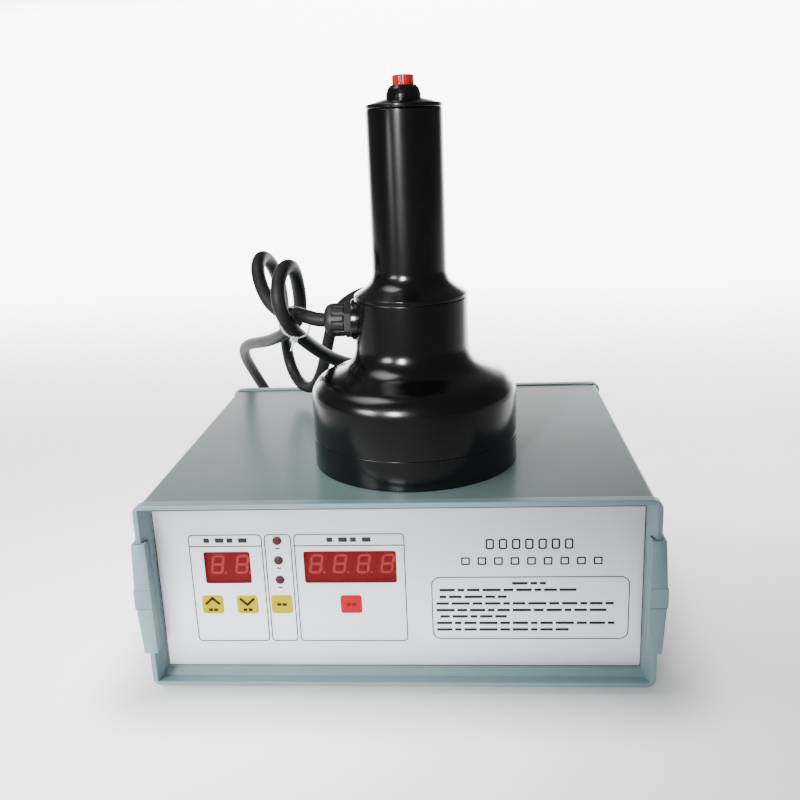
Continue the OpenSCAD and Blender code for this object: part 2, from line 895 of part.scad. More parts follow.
module each_pin() {
    for (p = [[-pin_pitch, -2], [0, 2], [pin_pitch, -2]]) {
        translate([inlet_x + p[0], 0, inlet_abs_z + p[1]]) children();
    }
}

module mains_inlet() {
    floor_d = recess_d + inlet_depth - inlet_floor;
    color("black") from_rear() difference() {
        translate([inlet_x, 0, inlet_abs_z]) {
            slab_y(recess_d - inlet_flange_t, recess_d) rounded(inlet_flange[0], inlet_flange[1], 3);
            slab_y(recess_d, recess_d + inlet_depth) rounded(inlet_body[0], inlet_body[1], 1.8);
        }
        translate([inlet_x, 0, inlet_abs_z]) slab_y(recess_d - inlet_flange_t - 1, floor_d) inlet_socket();
        each_pin() box([-pin_w / 2 - seat_gap, floor_d - 1, -pin_h / 2 - seat_gap],
            [pin_w / 2 + seat_gap, floor_d + inlet_floor + 1, pin_h / 2 + seat_gap]);
    }
}

module inlet_pins() {
    color("silver") from_rear() each_pin()
        box([-pin_w / 2, recess_d, -pin_h / 2], [pin_w / 2, recess_d + inlet_depth + pin_tab, pin_h / 2]);
}

module rocker_frame() {
    pin_end = rocker_hole[0] / 2 + rocker_pin_l;
    color("black") from_rear() difference() {
        translate([inlet_x, 0, rocker_abs_z]) {
            slab_y(recess_d - rocker_flange_t, recess_d) rounded(rocker_flange[0], rocker_flange[1], 1.5);
            slab_y(recess_d, recess_d + rocker_depth) rounded(rocker_body[0], rocker_body[1], 0.8);
        }
        translate([inlet_x, 0, rocker_abs_z]) {
            slab_y(recess_d - rocker_flange_t - 1, recess_d + rocker_depth - rocker_floor)
                square(rocker_hole, center = true);
            translate([0, rocker_pivot_d, 0]) rod_x(rocker_pin_r + pin_gap, -pin_end, pin_end);
        }
    }
}

// Rocker profile about its pivot: depth, then height
module rocker_profile() {
    crown = rocker_pivot_d - recess_d + 1.6;
    tip = crown + rocker_half * tan(rocker_angle);
    polygon([
        [-crown, 0], [-tip, rocker_half], [1 - tip, rocker_half + 0.3],
        [1.5, rocker_half - 1.2], [4.5, 2.2], [4.5, -2.2], [1.5, 1.2 - rocker_half],
        [1 - tip, -rocker_half - 0.3], [-tip, -rocker_half]
    ]);
}

module rocker() {
    reach = rocker_hole[0] / 2 + rocker_pin_l - seat_gap;
    color("black") from_rear()
    translate([inlet_x, rocker_pivot_d, rocker_abs_z]) rotate([rocker_angle, 0, 0]) {
        slab_x(-rocker_w / 2, rocker_w / 2) rocker_profile();
        rod_x(rocker_pin_r, -reach, reach);
    }
}

module fan_frame() {
    base_d = panel_back + fan_d - fan_base_t;
    color("black") from_rear() difference() {
        union() {
            difference() {
                slab_y(panel_back, panel_back + fan_d) translate([fan_x, fan_z])
                    rounded(fan_size, fan_size, 4);
                translate([fan_x, 0, fan_z]) rod_y(fan_bore_r, panel_back - 1, panel_back + fan_d + 1);
            }
            translate([fan_x, 0, fan_z]) {
                rod_y(fan_hub_r, base_d, panel_back + fan_d);
                for (a = [0 : 90 : 270]) {
                    rotate([0, a, 0])
                        box([fan_hub_r - 1, base_d + 1, -1.6], [fan_bore_r + 0.8, panel_back + fan_d, 1.6]);
                }
            }
        }
        each_fan_hole() rod_y(fan_screw_r + slip, panel_back - 1, panel_back + fan_d + 1);
        translate([fan_x, 0, fan_z]) rod_y(fan_shaft_r + pin_gap, base_d - 1, panel_back + fan_d + 1);
    }
}

module fan_rotor() {
    hub_d0 = panel_back + 2;
    hub_d1 = panel_back + fan_d - fan_base_t - 0.6;
    blade_r = fan_bore_r - 0.9;
    color("black") from_rear() translate([fan_x, 0, fan_z]) {
        rod_y(fan_hub_r + 0.5, hub_d0, hub_d1);
        rod_y(fan_shaft_r, hub_d1 - 1, panel_back + fan_d - 1);
        intersection() {
            difference() {
                rod_y(blade_r, hub_d0 + 1, hub_d1);
                rod_y(fan_hub_r, hub_d0, hub_d1 + 1);
            }
            for (i = [0 : fan_blades - 1]) {
                rotate([0, i * 360 / fan_blades, 0]) translate([0, (hub_d0 + hub_d1) / 2, 0])
                    rotate([38, 0, 0]) box([fan_hub_r - 2, -fan_d, -0.8], [blade_r + 2, fan_d, 0.8]);
            }
        }
    }
}

module fan_screws() {
    color("silver") from_rear() each_fan_hole() translate([0, recess_d, 0]) rotate([90, 0, 0])
        pan_screw(panel_t + fan_d - 3, fan_screw_r, fan_screw_r + 1.6, 2);
}

// Cord glands, drawn along +Z from the face that they are screwed to
module gland_body() {
    difference() {
        union() {
            slab_z(0, gland_hex_t) hexagon(gland_hex_af);
            translate([0, 0, -gland_tail]) cylinder(r = gland_thread_r, h = gland_tail + 1);
            cylinder(r = gland_thread_r, h = gland_hex_t + gland_thread_l);
        }
        translate([0, 0, -gland_tail - 1])
            cylinder(r = gland_mouth_r, h = gland_tail + gland_hex_t + gland_thread_l + 2);
    }
}

module gland_nut() {
    top = gland_hex_t + gland_nut_l;
    difference() {
        rotate_extrude() polygon(concat(
            [[gland_mouth_r, gland_hex_t], [gland_nut_r - 0.6, gland_hex_t],
             [gland_nut_r, gland_hex_t + 0.6]],
            arc([gland_nut_r - 5, top - 5], 5, 0, 70, 7),
            [[gland_mouth_r + 1, top], [gland_mouth_r, top]]
        ));
        translate([0, 0, gland_hex_t - 1])
            cylinder(r = gland_thread_r + seat_gap, h = gland_thread_l + 1 + seat_gap);
        for (i = [0 : 11]) {
            rotate(30 * i) translate([gland_nut_r + 0.9, 0, gland_hex_t - 1])
                cylinder(r = 1.5, h = gland_nut_l - 4.5);
        }
    }
}

module gland_locknut(wall) {
    translate([0, 0, -wall - gland_locknut_t]) difference() {
        slab_z(0, gland_locknut_t) hexagon(gland_hex_af);
        translate([0, 0, -1]) cylinder(r = gland_thread_r + seat_gap, h = gland_locknut_t + 2);
    }
}

module at_rear_gland() {
    translate([rear_gland_x, rear_y - recess_d, rear_gland_z]) rotate([-90, 0, 0]) children();
}

module rear_gland_body() {
    color("black") at_rear_gland() gland_body();
}

module rear_gland_nut() {
    color("black") at_rear_gland() gland_nut();
}

module rear_gland_locknut() {
    color("black") at_rear_gland() gland_locknut(panel_t);
}

module at_head_gland() {
    at_head() translate([-gland_pad_x, 0, gland_h]) rotate([0, -90, 0]) children();
}

module head_gland_body() {
    color("black") at_head_gland() gland_body();
}

module head_gland_nut() {
    color("black") at_head_gland() gland_nut();
}

module head_gland_locknut() {
    color("black") at_head_gland() gland_locknut(gland_pad_wall);
}

// Circuit inside the case
module main_board() {
    color("darkgreen") difference() {
        slab_z(circuit_z, circuit_top) translate([circuit_x, circuit_y])
            square([circuit_w, circuit_l], center = true);
        each_circuit_post() translate([0, 0, circuit_z - 1]) cylinder(r = screw_r, h = board_t + 2);
    }
}

module board_standoffs() {
    color("silver") each_circuit_post() {
        slab_z(tray_top, circuit_z) hexagon(7);
        translate([0, 0, circuit_z - 1]) cylinder(r = screw_r - seat_gap, h = board_t + 3);
    }
}

module heat_sink() {
    fin_pitch = (sink_w - 2) / (sink_fins - 1);
    color("darkgray") translate([sink_x, sink_y, circuit_top]) {
        box([-sink_w / 2, -sink_l / 2, 0], [sink_w / 2, sink_l / 2, sink_base]);
        for (i = [0 : sink_fins - 1]) {
            x = -sink_w / 2 + i * fin_pitch;
            box([x, -sink_l / 2, sink_base / 2], [x + 2, sink_l / 2, sink_base + sink_fin_h]);
        }
    }
}

module power_transistors() {
    color("black") for (s = [-1, 1]) {
        translate([sink_x + s * transistor_off, sink_y - sink_l / 2 - transistor[1], circuit_top])
            box([-transistor[0] / 2, 0, 0], [transistor[0] / 2, transistor[1], transistor[2]]);
    }
}

module capacitors() {
    x0 = circuit_x - circuit_w / 2 + capacitor_in;
    color("steelblue") for (i = [0, 1]) {
        translate([x0 + i * capacitor_pitch, circuit_y + capacitor_back, circuit_top])
            rotate_extrude() polygon([
                [0, 0], [capacitor_r, 0], [capacitor_r, 2], [capacitor_r - 0.7, 3], [capacitor_r, 4],
                [capacitor_r, capacitor_h - 1], [capacitor_r - 1, capacitor_h], [0, capacitor_h]
            ]);
    }
}

module transformer() {
    window_z0 = core_foot_h + core_leg;
    window_z1 = core_foot_h + core_h - core_leg;
    color("peru") translate([circuit_x - circuit_w / 2 + core_in, circuit_y - core_front, circuit_top]) {
        difference() {
            box([-core_w / 2, -core_d / 2, core_foot_h], [core_w / 2, core_d / 2, core_foot_h + core_h]);
            box([core_leg - core_w / 2, -core_d, window_z0], [core_w / 2 - core_leg, core_d, window_z1]);
        }
        translate([0, 0, window_z0 - coil_gap])
            cylinder(r = core_w / 2 - core_leg - coil_gap, h = window_z1 - window_z0 + 2 * coil_gap);
        box([-core_w / 3, -core_d * 0.6, 0], [core_w / 3, core_d * 0.6, core_foot_h + 0.5]);
    }
}

// Sealing head
module coil_cover() {
    lip_top = coil_cover_h + joint_d;
    color("#202124") at_head() rotate_extrude() polygon([
        [0, 0], [base_r - 0.8, 0], [base_r, 0.8], [base_r, coil_cover_h - fine_seam_c],
        [base_r - fine_seam_c, coil_cover_h], [bell_in - slip, coil_cover_h], [bell_in - slip, lip_top - 1],
        [bell_in - slip - 0.6, lip_top], [lip_in, lip_top], [lip_in, floor_t], [0, floor_t]
    ]);
}

module coil_former() {
    color("ivory") at_head() difference() {
        union() {
            slab_z(former_z, former_z + former_t) circle(former_r);
            slab_z(floor_t, former_z) difference() {
                circle(former_r);
                circle(former_r - former_skirt);
            }
            slab_z(floor_t, former_z) circle(coil_in_r - litz_r - 1.5);
        }
        translate([0, 0, floor_t - 1]) cylinder(r = 5, h = former_z + former_t);
    }
}

module induction_coil() {
    r1 = coil_in_r + litz_turns * litz_pitch;
    color("chocolate") at_head()
        wound_wire(coil_in_r, r1, floor_t + 0.2 + litz_r, floor_t + 0.2 + litz_r, litz_turns, litz_r, 20, 8);
}

module ferrite_bars() {
    color("dimgray") at_head() for (i = [0 : ferrite_count - 1]) {
        rotate(360 * i / ferrite_count)
            translate([former_r - ferrite[0] - 4, -ferrite[1] / 2, former_z + former_t]) cube(ferrite);
    }
}

// Outline of the bell from its lower wall to its neck, moved inwards by a wall
function bell_curve(wall) = concat(
    [[base_r - wall, bell_wall_h]],
    arc([base_r - shoulder_r, bell_wall_h], shoulder_r - wall, 6, 90 - shoulder_slope, 10),
    arc(neck_centre, neck_fillet + wall, 270 - shoulder_slope, 180, 12)
);

function backwards(list) = [for (i = [len(list) - 1 : -1 : 0]) list[i]];

module bell_housing() {
    color("#202124") at_head() difference() {
        union() {
            rotate_extrude() polygon(concat(
                [[bell_in, coil_cover_h], [base_r - fine_seam_c, coil_cover_h],
                 [base_r, coil_cover_h + fine_seam_c]],
                bell_curve(0),
                [[neck_r, bell_h - seam_c], [neck_r - seam_c, bell_h], [neck_in, bell_h]],
                backwards(bell_curve(shell_t))
            ));
            translate([0, 0, gland_h]) difference() {
                rod_x(gland_pad_r, -gland_pad_x, -neck_in + 1);
                translate([0, 0, -gland_pad_r - 1]) cylinder(r = neck_in, h = 2 * gland_pad_r + 2);
            }
        }
        translate([0, 0, gland_h]) {
            rod_x(gland_thread_r + slip, -gland_pad_x - 1, 0);
            rod_x(locknut_pocket_r, gland_pad_wall - gland_pad_x, 0);
        }
    }
}

module handle() {
    spigot_r = neck_in - slip;
    notch_hw = locknut_pocket_r + 1;
    color("#202124") at_head() difference() {
        rotate_extrude() polygon(concat(
            [[spigot_r - 2, bell_h - joint_d], [spigot_r, bell_h - joint_d], [spigot_r, bell_h],
             [flange_r - seam_c, bell_h], [flange_r, bell_h + seam_c], [flange_r, flange_top - 0.6],
             [flange_r - 0.4, flange_top + 0.2]],
            arc(flare_centre, flare_fillet, 270 - flare_slope, 180, 10),
            [[grip_r, grip_top - seam_c], [grip_r - seam_c, grip_top], [grip_in, grip_top],
             [grip_in, flare_centre[1]], [spigot_r - 2, bell_h + 1]]
        ));
        box([-neck_in, -notch_hw, bell_h - joint_d - 1], [-neck_in / 2, notch_hw, bell_h - 0.6]);
    }
}

module handle_cap() {
    color("#202124") at_head() rotate_extrude() polygon([
        [barrel_r + seat_gap, cap_under], [grip_in - slip - 2, cap_under],
        [grip_in - slip - 2, grip_top - joint_d], [grip_in - slip, grip_top - joint_d],
        [grip_in - slip, grip_top], [grip_r - seam_c, grip_top], [grip_r, cap_rim_z],
        [grip_r, cap_rim_z + cap_rim_h - 0.7], [grip_r - 0.9, cap_rim_z + cap_rim_h],
        [collar_r + 1, cap_top], [barrel_r + seat_gap, cap_top]
    ]);
}

module switch_body() {
    color("#202124") at_head() {
        rotate_extrude() polygon(concat(
            [[stem_guide_r + run_gap, barrel_foot], [barrel_r, barrel_foot], [barrel_r, cap_top]],
            [[collar_r, cap_top], [collar_r, cap_top + 1.6]],
            arc([collar_r - 5.2, collar_top - 5], 5, 12, 62, 6),
            [[button_hole_r + 0.2, collar_top], [button_hole_r, collar_top - 0.3],
             [button_hole_r, collar_floor], [barrel_bore_r, collar_floor],
             [barrel_bore_r, spring_seat], [stem_guide_r + run_gap, spring_seat]]
        ));
        for (s = [-1, 1]) {
            box([s * 4.2 - 0.4, -1.4, barrel_foot - 8], [s * 4.2 + 0.4, 1.4, barrel_foot + 1]);
        }
    }
}

module switch_nut() {
    color("silver") at_head() slab_z(cap_under - nut_t, cap_under) difference() {
        hexagon(nut_af);
        circle(barrel_r + seat_gap);
    }
}

module button_spring() {
    z0 = spring_seat + spring_wire + seat_gap;
    z1 = button_foot - spring_wire - seat_gap;
    color("silver") at_head() wound_wire(spring_r, spring_r, z0, z1, spring_turns, spring_wire, 14, 8);
}

module button_cap() {
    color("crimson") at_head() {
        difference() {
            rotate_extrude() polygon(concat(
                [[0, button_foot], [button_r, button_foot]],
                arc([button_r - 1.2, button_top - 1.2], 1.2, 0, 90, 5),
                [[0, button_top - 0.3]]
            ));
            for (i = [0 : 23]) {
                rotate(15 * i) translate([button_r + 0.25, 0, collar_top + 0.4])
                    cylinder(r = 0.5, h = button_proud, $fn = 16);
            }
        }
        translate([0, 0, barrel_foot - 1]) cylinder(r = stem_guide_r, h = button_foot - barrel_foot + 2);
        translate([0, 0, barrel_foot - run_gap - stem_stop_t]) cylinder(r = stem_stop_r, h = stem_stop_t);
    }
}

// Cord: a smooth curve drawn near the route's points, swept with rings that don't twist
function place(p) = [p[0], front_y + p[1], shell_z1 + p[2]];

function route_point(i) =
    i < 0 ? 2 * route[0] - route[1] :
    i >= len(route) ? 2 * route[len(route) - 1] - route[len(route) - 2] : route[i];

function curve_point(u) =
    let (i = min(floor(u), len(route) - 2), t = u - i,
        a = route_point(i - 1), b = route_point(i), c = route_point(i + 1), d = route_point(i + 2))
    (pow(1 - t, 3) * a + (3 * pow(t, 3) - 6 * t * t + 4) * b
        + (3 * t + 3 * t * t - 3 * pow(t, 3) + 1) * c + pow(t, 3) * d) / 6;

function unit(v) = v / norm(v);

function carried_sides(tangents, side, i = 0) =
    i == len(tangents) ? [] :
    let (s = unit(side - (side * tangents[i]) * tangents[i]))
    concat([s], carried_sides(tangents, s, i + 1));

module head_cord() {
    last = len(route) - 1;
    centres = [for (i = [0 : cord_rings - 1]) place(curve_point(last * i / (cord_rings - 1)))];
    tangents = [for (i = [0 : cord_rings - 1])
        unit(centres[min(i + 1, cord_rings - 1)] - centres[max(i - 1, 0)])];
    sides = carried_sides(tangents, [0, 0, 1]);
    points = [for (i = [0 : cord_rings - 1], j = [0 : cord_sides - 1])
        let (a = 360 * j / cord_sides)
        centres[i] + cord_r * (cos(a) * sides[i] + sin(a) * cross(tangents[i], sides[i]))];
    color("#202124") polyhedron(points, tube_faces(cord_rings, cord_sides), convexity = 10);
}

function heading(u) = unit(curve_point(u + 0.05) - curve_point(u - 0.05));

module cord_tie() {
    low = place(curve_point(tie_low));
    high = place(curve_point(tie_high));
    at = (low + high) / 2;
    up = unit(high - low);
    apart = heading(tie_low) - heading(tie_high);
    out = unit(apart - (apart * up) * up);
    wide = cross(up, out);
    tall = norm(high - low) + 2 * cord_r + seat_gap;
    color("white") multmatrix([
        [wide[0], up[0], out[0], at[0]],
        [wide[1], up[1], out[1], at[1]],
        [wide[2], up[2], out[2], at[2]]
    ]) {
        slab_z(-tie_band / 2, tie_band / 2) difference() {
            rounded(tie_w + 2 * tie_t, tall + 2 * tie_t, tie_corner + tie_t);
            rounded(tie_w, tall, tie_corner);
        }
        box([-0.5, -tall / 2 - 3, -tie_band / 2 - 0.8], [3.5, -tall / 2 - tie_t / 2, tie_band / 2 + 0.8]);
        box([1, -tall / 2 - tie_tail, -tie_band / 2], [1 + tie_t, -tall / 2 - 2, tie_band / 2]);
    }
}

front_bezel();
rear_bezel();
front_left_clip();
front_right_clip();
rear_left_clip();
rear_right_clip();
top_cover();
bottom_tray();
feet();
foot_screws();
cover_screws();
bezel_screws();
front_panel();
panel_overlay();
time_filter();
count_filter();
time_display();
count_display();
level_leds();
display_board();
display_standoffs();
tact_switches();
up_key_stem();
down_key_stem();
power_key_stem();
reset_key_stem();
rear_panel();
mains_inlet();
inlet_pins();
rocker_frame();
rocker();
fan_frame();
fan_rotor();
fan_screws();
rear_gland_body();
rear_gland_nut();
rear_gland_locknut();
main_board();
board_standoffs();
heat_sink();
power_transistors();
capacitors();
transformer();
coil_cover();
coil_former();
induction_coil();
ferrite_bars();
bell_housing();
handle();
handle_cap();
switch_body();
switch_nut();
button_spring();
button_cap();
head_gland_body();
head_gland_nut();
head_gland_locknut();
head_cord();
cord_tie();
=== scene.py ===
import bpy
import bmesh
from math import atan2, cos, degrees, pi, radians, sin, tan
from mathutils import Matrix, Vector


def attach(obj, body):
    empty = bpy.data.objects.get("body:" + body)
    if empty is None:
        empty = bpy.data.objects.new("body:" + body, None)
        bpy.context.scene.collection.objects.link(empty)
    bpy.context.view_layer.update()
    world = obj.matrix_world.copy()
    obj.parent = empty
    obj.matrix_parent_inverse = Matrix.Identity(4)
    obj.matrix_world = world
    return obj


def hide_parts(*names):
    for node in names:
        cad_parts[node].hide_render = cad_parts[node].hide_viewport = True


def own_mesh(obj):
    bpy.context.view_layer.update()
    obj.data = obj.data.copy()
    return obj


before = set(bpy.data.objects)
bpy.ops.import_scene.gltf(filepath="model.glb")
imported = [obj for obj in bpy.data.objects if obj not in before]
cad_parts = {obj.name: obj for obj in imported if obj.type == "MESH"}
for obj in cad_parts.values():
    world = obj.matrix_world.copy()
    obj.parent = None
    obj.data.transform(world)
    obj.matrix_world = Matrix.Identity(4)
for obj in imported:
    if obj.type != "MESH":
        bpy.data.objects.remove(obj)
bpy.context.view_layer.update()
mm = 0.001

# Camera: a short tele view from the front, a little above the box and
# turned slightly left, at the height of the sealing head's grip.
lens = bpy.data.cameras.new("studio_camera")
lens.lens = 40.97
lens.sensor_width = 36
camera = bpy.data.objects.new("studio_camera", lens)
camera.location = (0.04149, -0.58009, 0.30827)
camera.rotation_euler = [radians(a) for a in (73.877, 2.2094, 3.7207)]
bpy.context.collection.objects.link(camera)
bpy.context.scene.camera = camera


# Floor: a pale paper sweep that lies on the table and curves up far behind the object, one sheet without a seam;
# it glows with painted light where the camera looks, with a painted shadow round the case.
class Tone:
    """A value or colour in a material; sums on it add Math nodes."""

    def __init__(self, tree, socket=None):
        self.tree = tree
        self.socket = socket

    def node(self, kind, settings=None, sockets=None, out=0):
        made = self.tree.nodes.new(kind)
        for name, value in (settings or {}).items():
            setattr(made, name, value)
        for name, value in (sockets or {}).items():
            if isinstance(value, Tone):
                self.tree.links.new(value.socket, made.inputs[name])
            else:
                made.inputs[name].default_value = value
        return Tone(self.tree, made.outputs[out] if made.outputs else None)

    def sum(self, operation, first, second):
        return self.node("ShaderNodeMath", {"operation": operation}, {0: first, 1: second})

    def __add__(self, other):
        return self.sum("ADD", self, other)

    def __radd__(self, other):
        return self.sum("ADD", other, self)

    def __sub__(self, other):
        return self.sum("SUBTRACT", self, other)

    def __rsub__(self, other):
        return self.sum("SUBTRACT", other, self)

    def __mul__(self, other):
        return self.sum("MULTIPLY", self, other)

    def __rmul__(self, other):
        return self.sum("MULTIPLY", other, self)

    def places(self):
        return self.node("ShaderNodeTexCoord", out="Object")

    def place(self, axis):
        return self.node("ShaderNodeSeparateXYZ", sockets={"Vector": self.places()}, out=axis)

    def fade(self, value, start, end, low=0.0, high=1.0):
        return self.node("ShaderNodeMapRange", {"interpolation_type": "SMOOTHSTEP"}, {
            "Value": value, "From Min": start, "From Max": end, "To Min": low, "To Max": high})

    def noise(self, scale, detail=2, stretch=None):
        at = self.places()
        if stretch:
            at = self.node("ShaderNodeMapping", sockets={"Vector": at, "Scale": stretch})
        return self.node("ShaderNodeTexNoise", sockets={"Vector": at, "Scale": scale, "Detail": detail})

    def blend(self, amount, first, second):
        return self.node("ShaderNodeMix", {"data_type": "RGBA"}, {0: amount, 6: first, 7: second}, out=2)

    def bump(self, height, depth, strength=1.0):
        return self.node("ShaderNodeBump", sockets={"Height": height, "Distance": depth, "Strength": strength})


def new_finish(name):
    """An empty material and the tone that its nodes start from."""
    material = bpy.data.materials.new(name)
    material.use_nodes = True
    material.node_tree.nodes.clear()
    return material, Tone(material.node_tree)


def coated(tone, sockets):
    """Ends a material with its surface shader."""
    surface = tone.node("ShaderNodeBsdfPrincipled", sockets=sockets)
    tone.node("ShaderNodeOutputMaterial", sockets={"Surface": surface})


def blank(kind, **settings):
    """A new simple shape at the origin, with nothing else selected."""
    bpy.ops.object.select_all(action="DESELECT")
    getattr(bpy.ops.mesh, "primitive_" + kind + "_add")(location=(0, 0, 0), **settings)
    return bpy.context.object


def pick(kind, test):
    """Selects what passes the test, by its middle, in the mesh that is being edited."""
    bpy.ops.mesh.select_mode(type=kind)
    bpy.ops.mesh.select_all(action="DESELECT")
    mesh = bmesh.from_edit_mesh(bpy.context.object.data)
    for item in {"VERT": mesh.verts, "EDGE": mesh.edges, "FACE": mesh.faces}[kind]:
        if kind == "VERT":
            middle = item.co
        elif kind == "EDGE":
            middle = (item.verts[0].co + item.verts[1].co) / 2
        else:
            middle = item.calc_center_median()
        if test(middle):
            item.select_set(True)
    mesh.select_flush_mode()
    bmesh.update_edit_mesh(bpy.context.object.data)


sweep_size, sweep_rise, sweep_bend = 6, 1.3, 0.8
floor = blank("plane", size=sweep_size)
floor.name = "paper_sweep"
bpy.ops.object.mode_set(mode="EDIT")
pick("EDGE", lambda p: p.y > 2)
bpy.ops.mesh.extrude_region_move(TRANSFORM_OT_translate={"value": (0, 0, sweep_rise)})
pick("EDGE", lambda p: p.y > 2 and p.z < 0.5 and abs(p.x) < 0.1)
bpy.ops.mesh.bevel(offset=sweep_bend, segments=16, affect="EDGES")
bpy.ops.object.mode_set(mode="OBJECT")
bpy.ops.object.shade_smooth()
paper, tone = new_finish("sweep_paper")
case_half_x, case_half_y, case_middle_y = 0.14, 0.118, -0.002
across, along, up = tone.place("X"), tone.place("Y"), tone.place("Z")
beside = tone.sum("MAXIMUM", tone.sum("ABSOLUTE", across, 0) - case_half_x, 0)
before = tone.sum("MAXIMUM", tone.sum("ABSOLUTE", along - case_middle_y, 0) - case_half_y, 0)
off_case = tone.sum("POWER", beside * beside + before * before, 0.5)
off_line = tone.sum("ABSOLUTE", across + 0.065 * along - 0.004, 0)
# Painted light and shade in the paper's glow: a painted contact shadow round the case's footprint, darker paper
# in front of the case, a brighter wedge behind it, brighter paper towards the back, no glow high on the wall, and
# in front a glow that falls off from left to right.
case_shadow = tone.fade(off_case, 0.0, 0.06, 0.12)
front = tone.fade(along, -0.34, -0.2, 0.12)
inside = tone.fade(off_line - 0.5 * along, 0.6, 0.29, 0.15)
far = tone.fade(along, 0.3, 1.6, 0.55, 1.9)
below = tone.fade(up, 0.92, 0.8)
fall = tone.fade(across, -0.2, 0.26, 1.15, 0.45)
ahead = tone.fade(along, 0.25, -0.12)
paper_glow = case_shadow * front * inside * far * below * (1 - ahead * (1 - fall))
coated(tone, {
    "Base Color": tone.blend(tone.noise(14), (0.80, 0.80, 0.80, 1), (0.83, 0.83, 0.83, 1)),
    "Roughness": 0.85, "Specular IOR Level": 0.2,
    "Emission Color": tone.node("ShaderNodeCombineColor", sockets={0: paper_glow, 1: paper_glow, 2: paper_glow}),
    "Emission Strength": 4.2,
})
floor.data.materials.append(paper)

# Studio light: a dim room and three soft boxes with grids, a tall one to the left of
# the camera, a small low one at the left of the case and a broad one high above it.
room = bpy.data.worlds.new("dim_room")
room.use_nodes = True
room.node_tree.nodes["Background"].inputs["Color"].default_value = (1, 1, 1, 1)
room.node_tree.nodes["Background"].inputs["Strength"].default_value = 0.15
bpy.context.scene.world = room


def soft_box(name, place, aim, width, height, watts, spread):
    """A rectangular area light with a grid, facing the point it is aimed at."""
    lamp = bpy.data.lights.new(name, "AREA")
    lamp.shape = "RECTANGLE"
    lamp.size = width
    lamp.size_y = height
    lamp.energy = watts
    lamp.spread = radians(spread)
    holder = bpy.data.objects.new(name, lamp)
    holder.location = place
    holder.rotation_euler = (Vector(aim) - Vector(place)).to_track_quat("-Z", "Y").to_euler()
    bpy.context.collection.objects.link(holder)


soft_box("tall_box", (-0.37, -1.18, 0.63), (0.005, -0.05, 0.3), 0.14, 0.6, 0.8, 18)
soft_box("low_box", (-0.5, -0.45, 0.24), (-0.2, -0.12, 0.08), 0.25, 0.25, 0.55, 40)
soft_box("top_box", (-0.6, -0.1, 1.1), (-0.14, -0.03, 0.1), 0.6, 0.6, 0.7, 50)

# Cord: one round black rubber lead from the head's gland to the back of the box, folded
# to and fro in a loose hank behind the head. Its route is given from the middle of the
# case, the front rim and the cover.
front_rim_y, cover_top_z = -123.75, 117.2
cord_route = [
    (-36, 78.5, 87), (-48, 78.5, 87), (-57, 84, 90), (-69, 90, 88), (-81, 96, 96), (-89, 106, 115),
    (-88, 124, 123), (-85, 143, 113), (-83, 154, 96), (-88, 180, 77), (-94, 211, 58), (-98, 229, 36),
    (-94, 227, 17), (-83, 211, 9), (-70, 191, 14), (-61, 180, 34), (-56, 177, 56), (-48, 168, 78),
    (-29, 153, 91), (-5, 142, 96), (22, 143, 91), (40, 153, 67), (23, 167, 41), (-8, 165, 36),
    (-33, 147, 40), (-50, 119, 55), (-59, 91, 73), (-64, 75, 84), (-68, 69, 96), (-69, 72, 109),
    (-67, 82, 119), (-63, 97, 119), (-64, 114, 104), (-64, 119, 92), (-66, 124, 80), (-79, 145, 66),
    (-104, 189, 50), (-131, 240, 39), (-147, 282, 22), (-140, 301, -5), (-125, 304, -35), (-110, 297, -60),
    (-106, 277, -66), (-106, 258, -61), (-106, 244, -61),
]
cord_dia = 8.6 * mm
cord_steps = 8


def dressed(piece, finish, body="sealer"):
    """Gives a piece its finish, and names the body that carries it."""
    piece.data.materials.append(finish)
    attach(piece, body)


stations = [Vector((x, front_rim_y + d, cover_top_z + h)) * mm for x, d, h in cord_route]
stations = [2 * stations[0] - stations[1]] + stations + [2 * stations[-1] - stations[-2]]
line = []
for a, b, c, d in zip(stations, stations[1:], stations[2:], stations[3:]):
    for t in [k / cord_steps for k in range(cord_steps)]:
        line.append(((1 - t) ** 3 * a + (3 * t ** 3 - 6 * t * t + 4) * b
                     + (3 * t + 3 * t * t - 3 * t ** 3 + 1) * c + t ** 3 * d) / 6)
line.append((stations[-3] + 4 * stations[-2] + stations[-1]) / 6)
lead = bpy.data.curves.new("head_lead", "CURVE")
lead.dimensions = "3D"
lead.bevel_depth = cord_dia / 2
lead.bevel_resolution = 8
lead.use_fill_caps = True
run = lead.splines.new("POLY")
run.points.add(len(line) - 1)
for point, place in zip(run.points, line):
    point.co = (*place, 1)
run.use_smooth = True
cord = bpy.data.objects.new("head_lead", lead)
bpy.context.collection.objects.link(cord)

cord_rubber, tone = new_finish("cord_rubber")
scuff = tone.noise(55, 4)
grain = tone.noise(900, 2)
coated(tone, {
    "Base Color": tone.blend(scuff, (0.006, 0.006, 0.007, 1), (0.016, 0.016, 0.017, 1)),
    "Roughness": 0.4 + 0.2 * scuff, "Specular IOR Level": 0.25,
    "Normal": tone.bump(grain, 0.00005),
})
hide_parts("head_cord")
dressed(cord, cord_rubber)


# Tie: a loose band of clear plastic strip round the two strands where the hank
# is gathered, closed in a small square lock with a short tail.
def srgb(red, green, blue):
    """A colour read from a picture, as the light values that shaders use."""
    parts = [c / 255 for c in (red, green, blue)]
    return [c / 12.92 if c < 0.04045 else ((c + 0.055) / 1.055) ** 2.4 for c in parts] + [1]


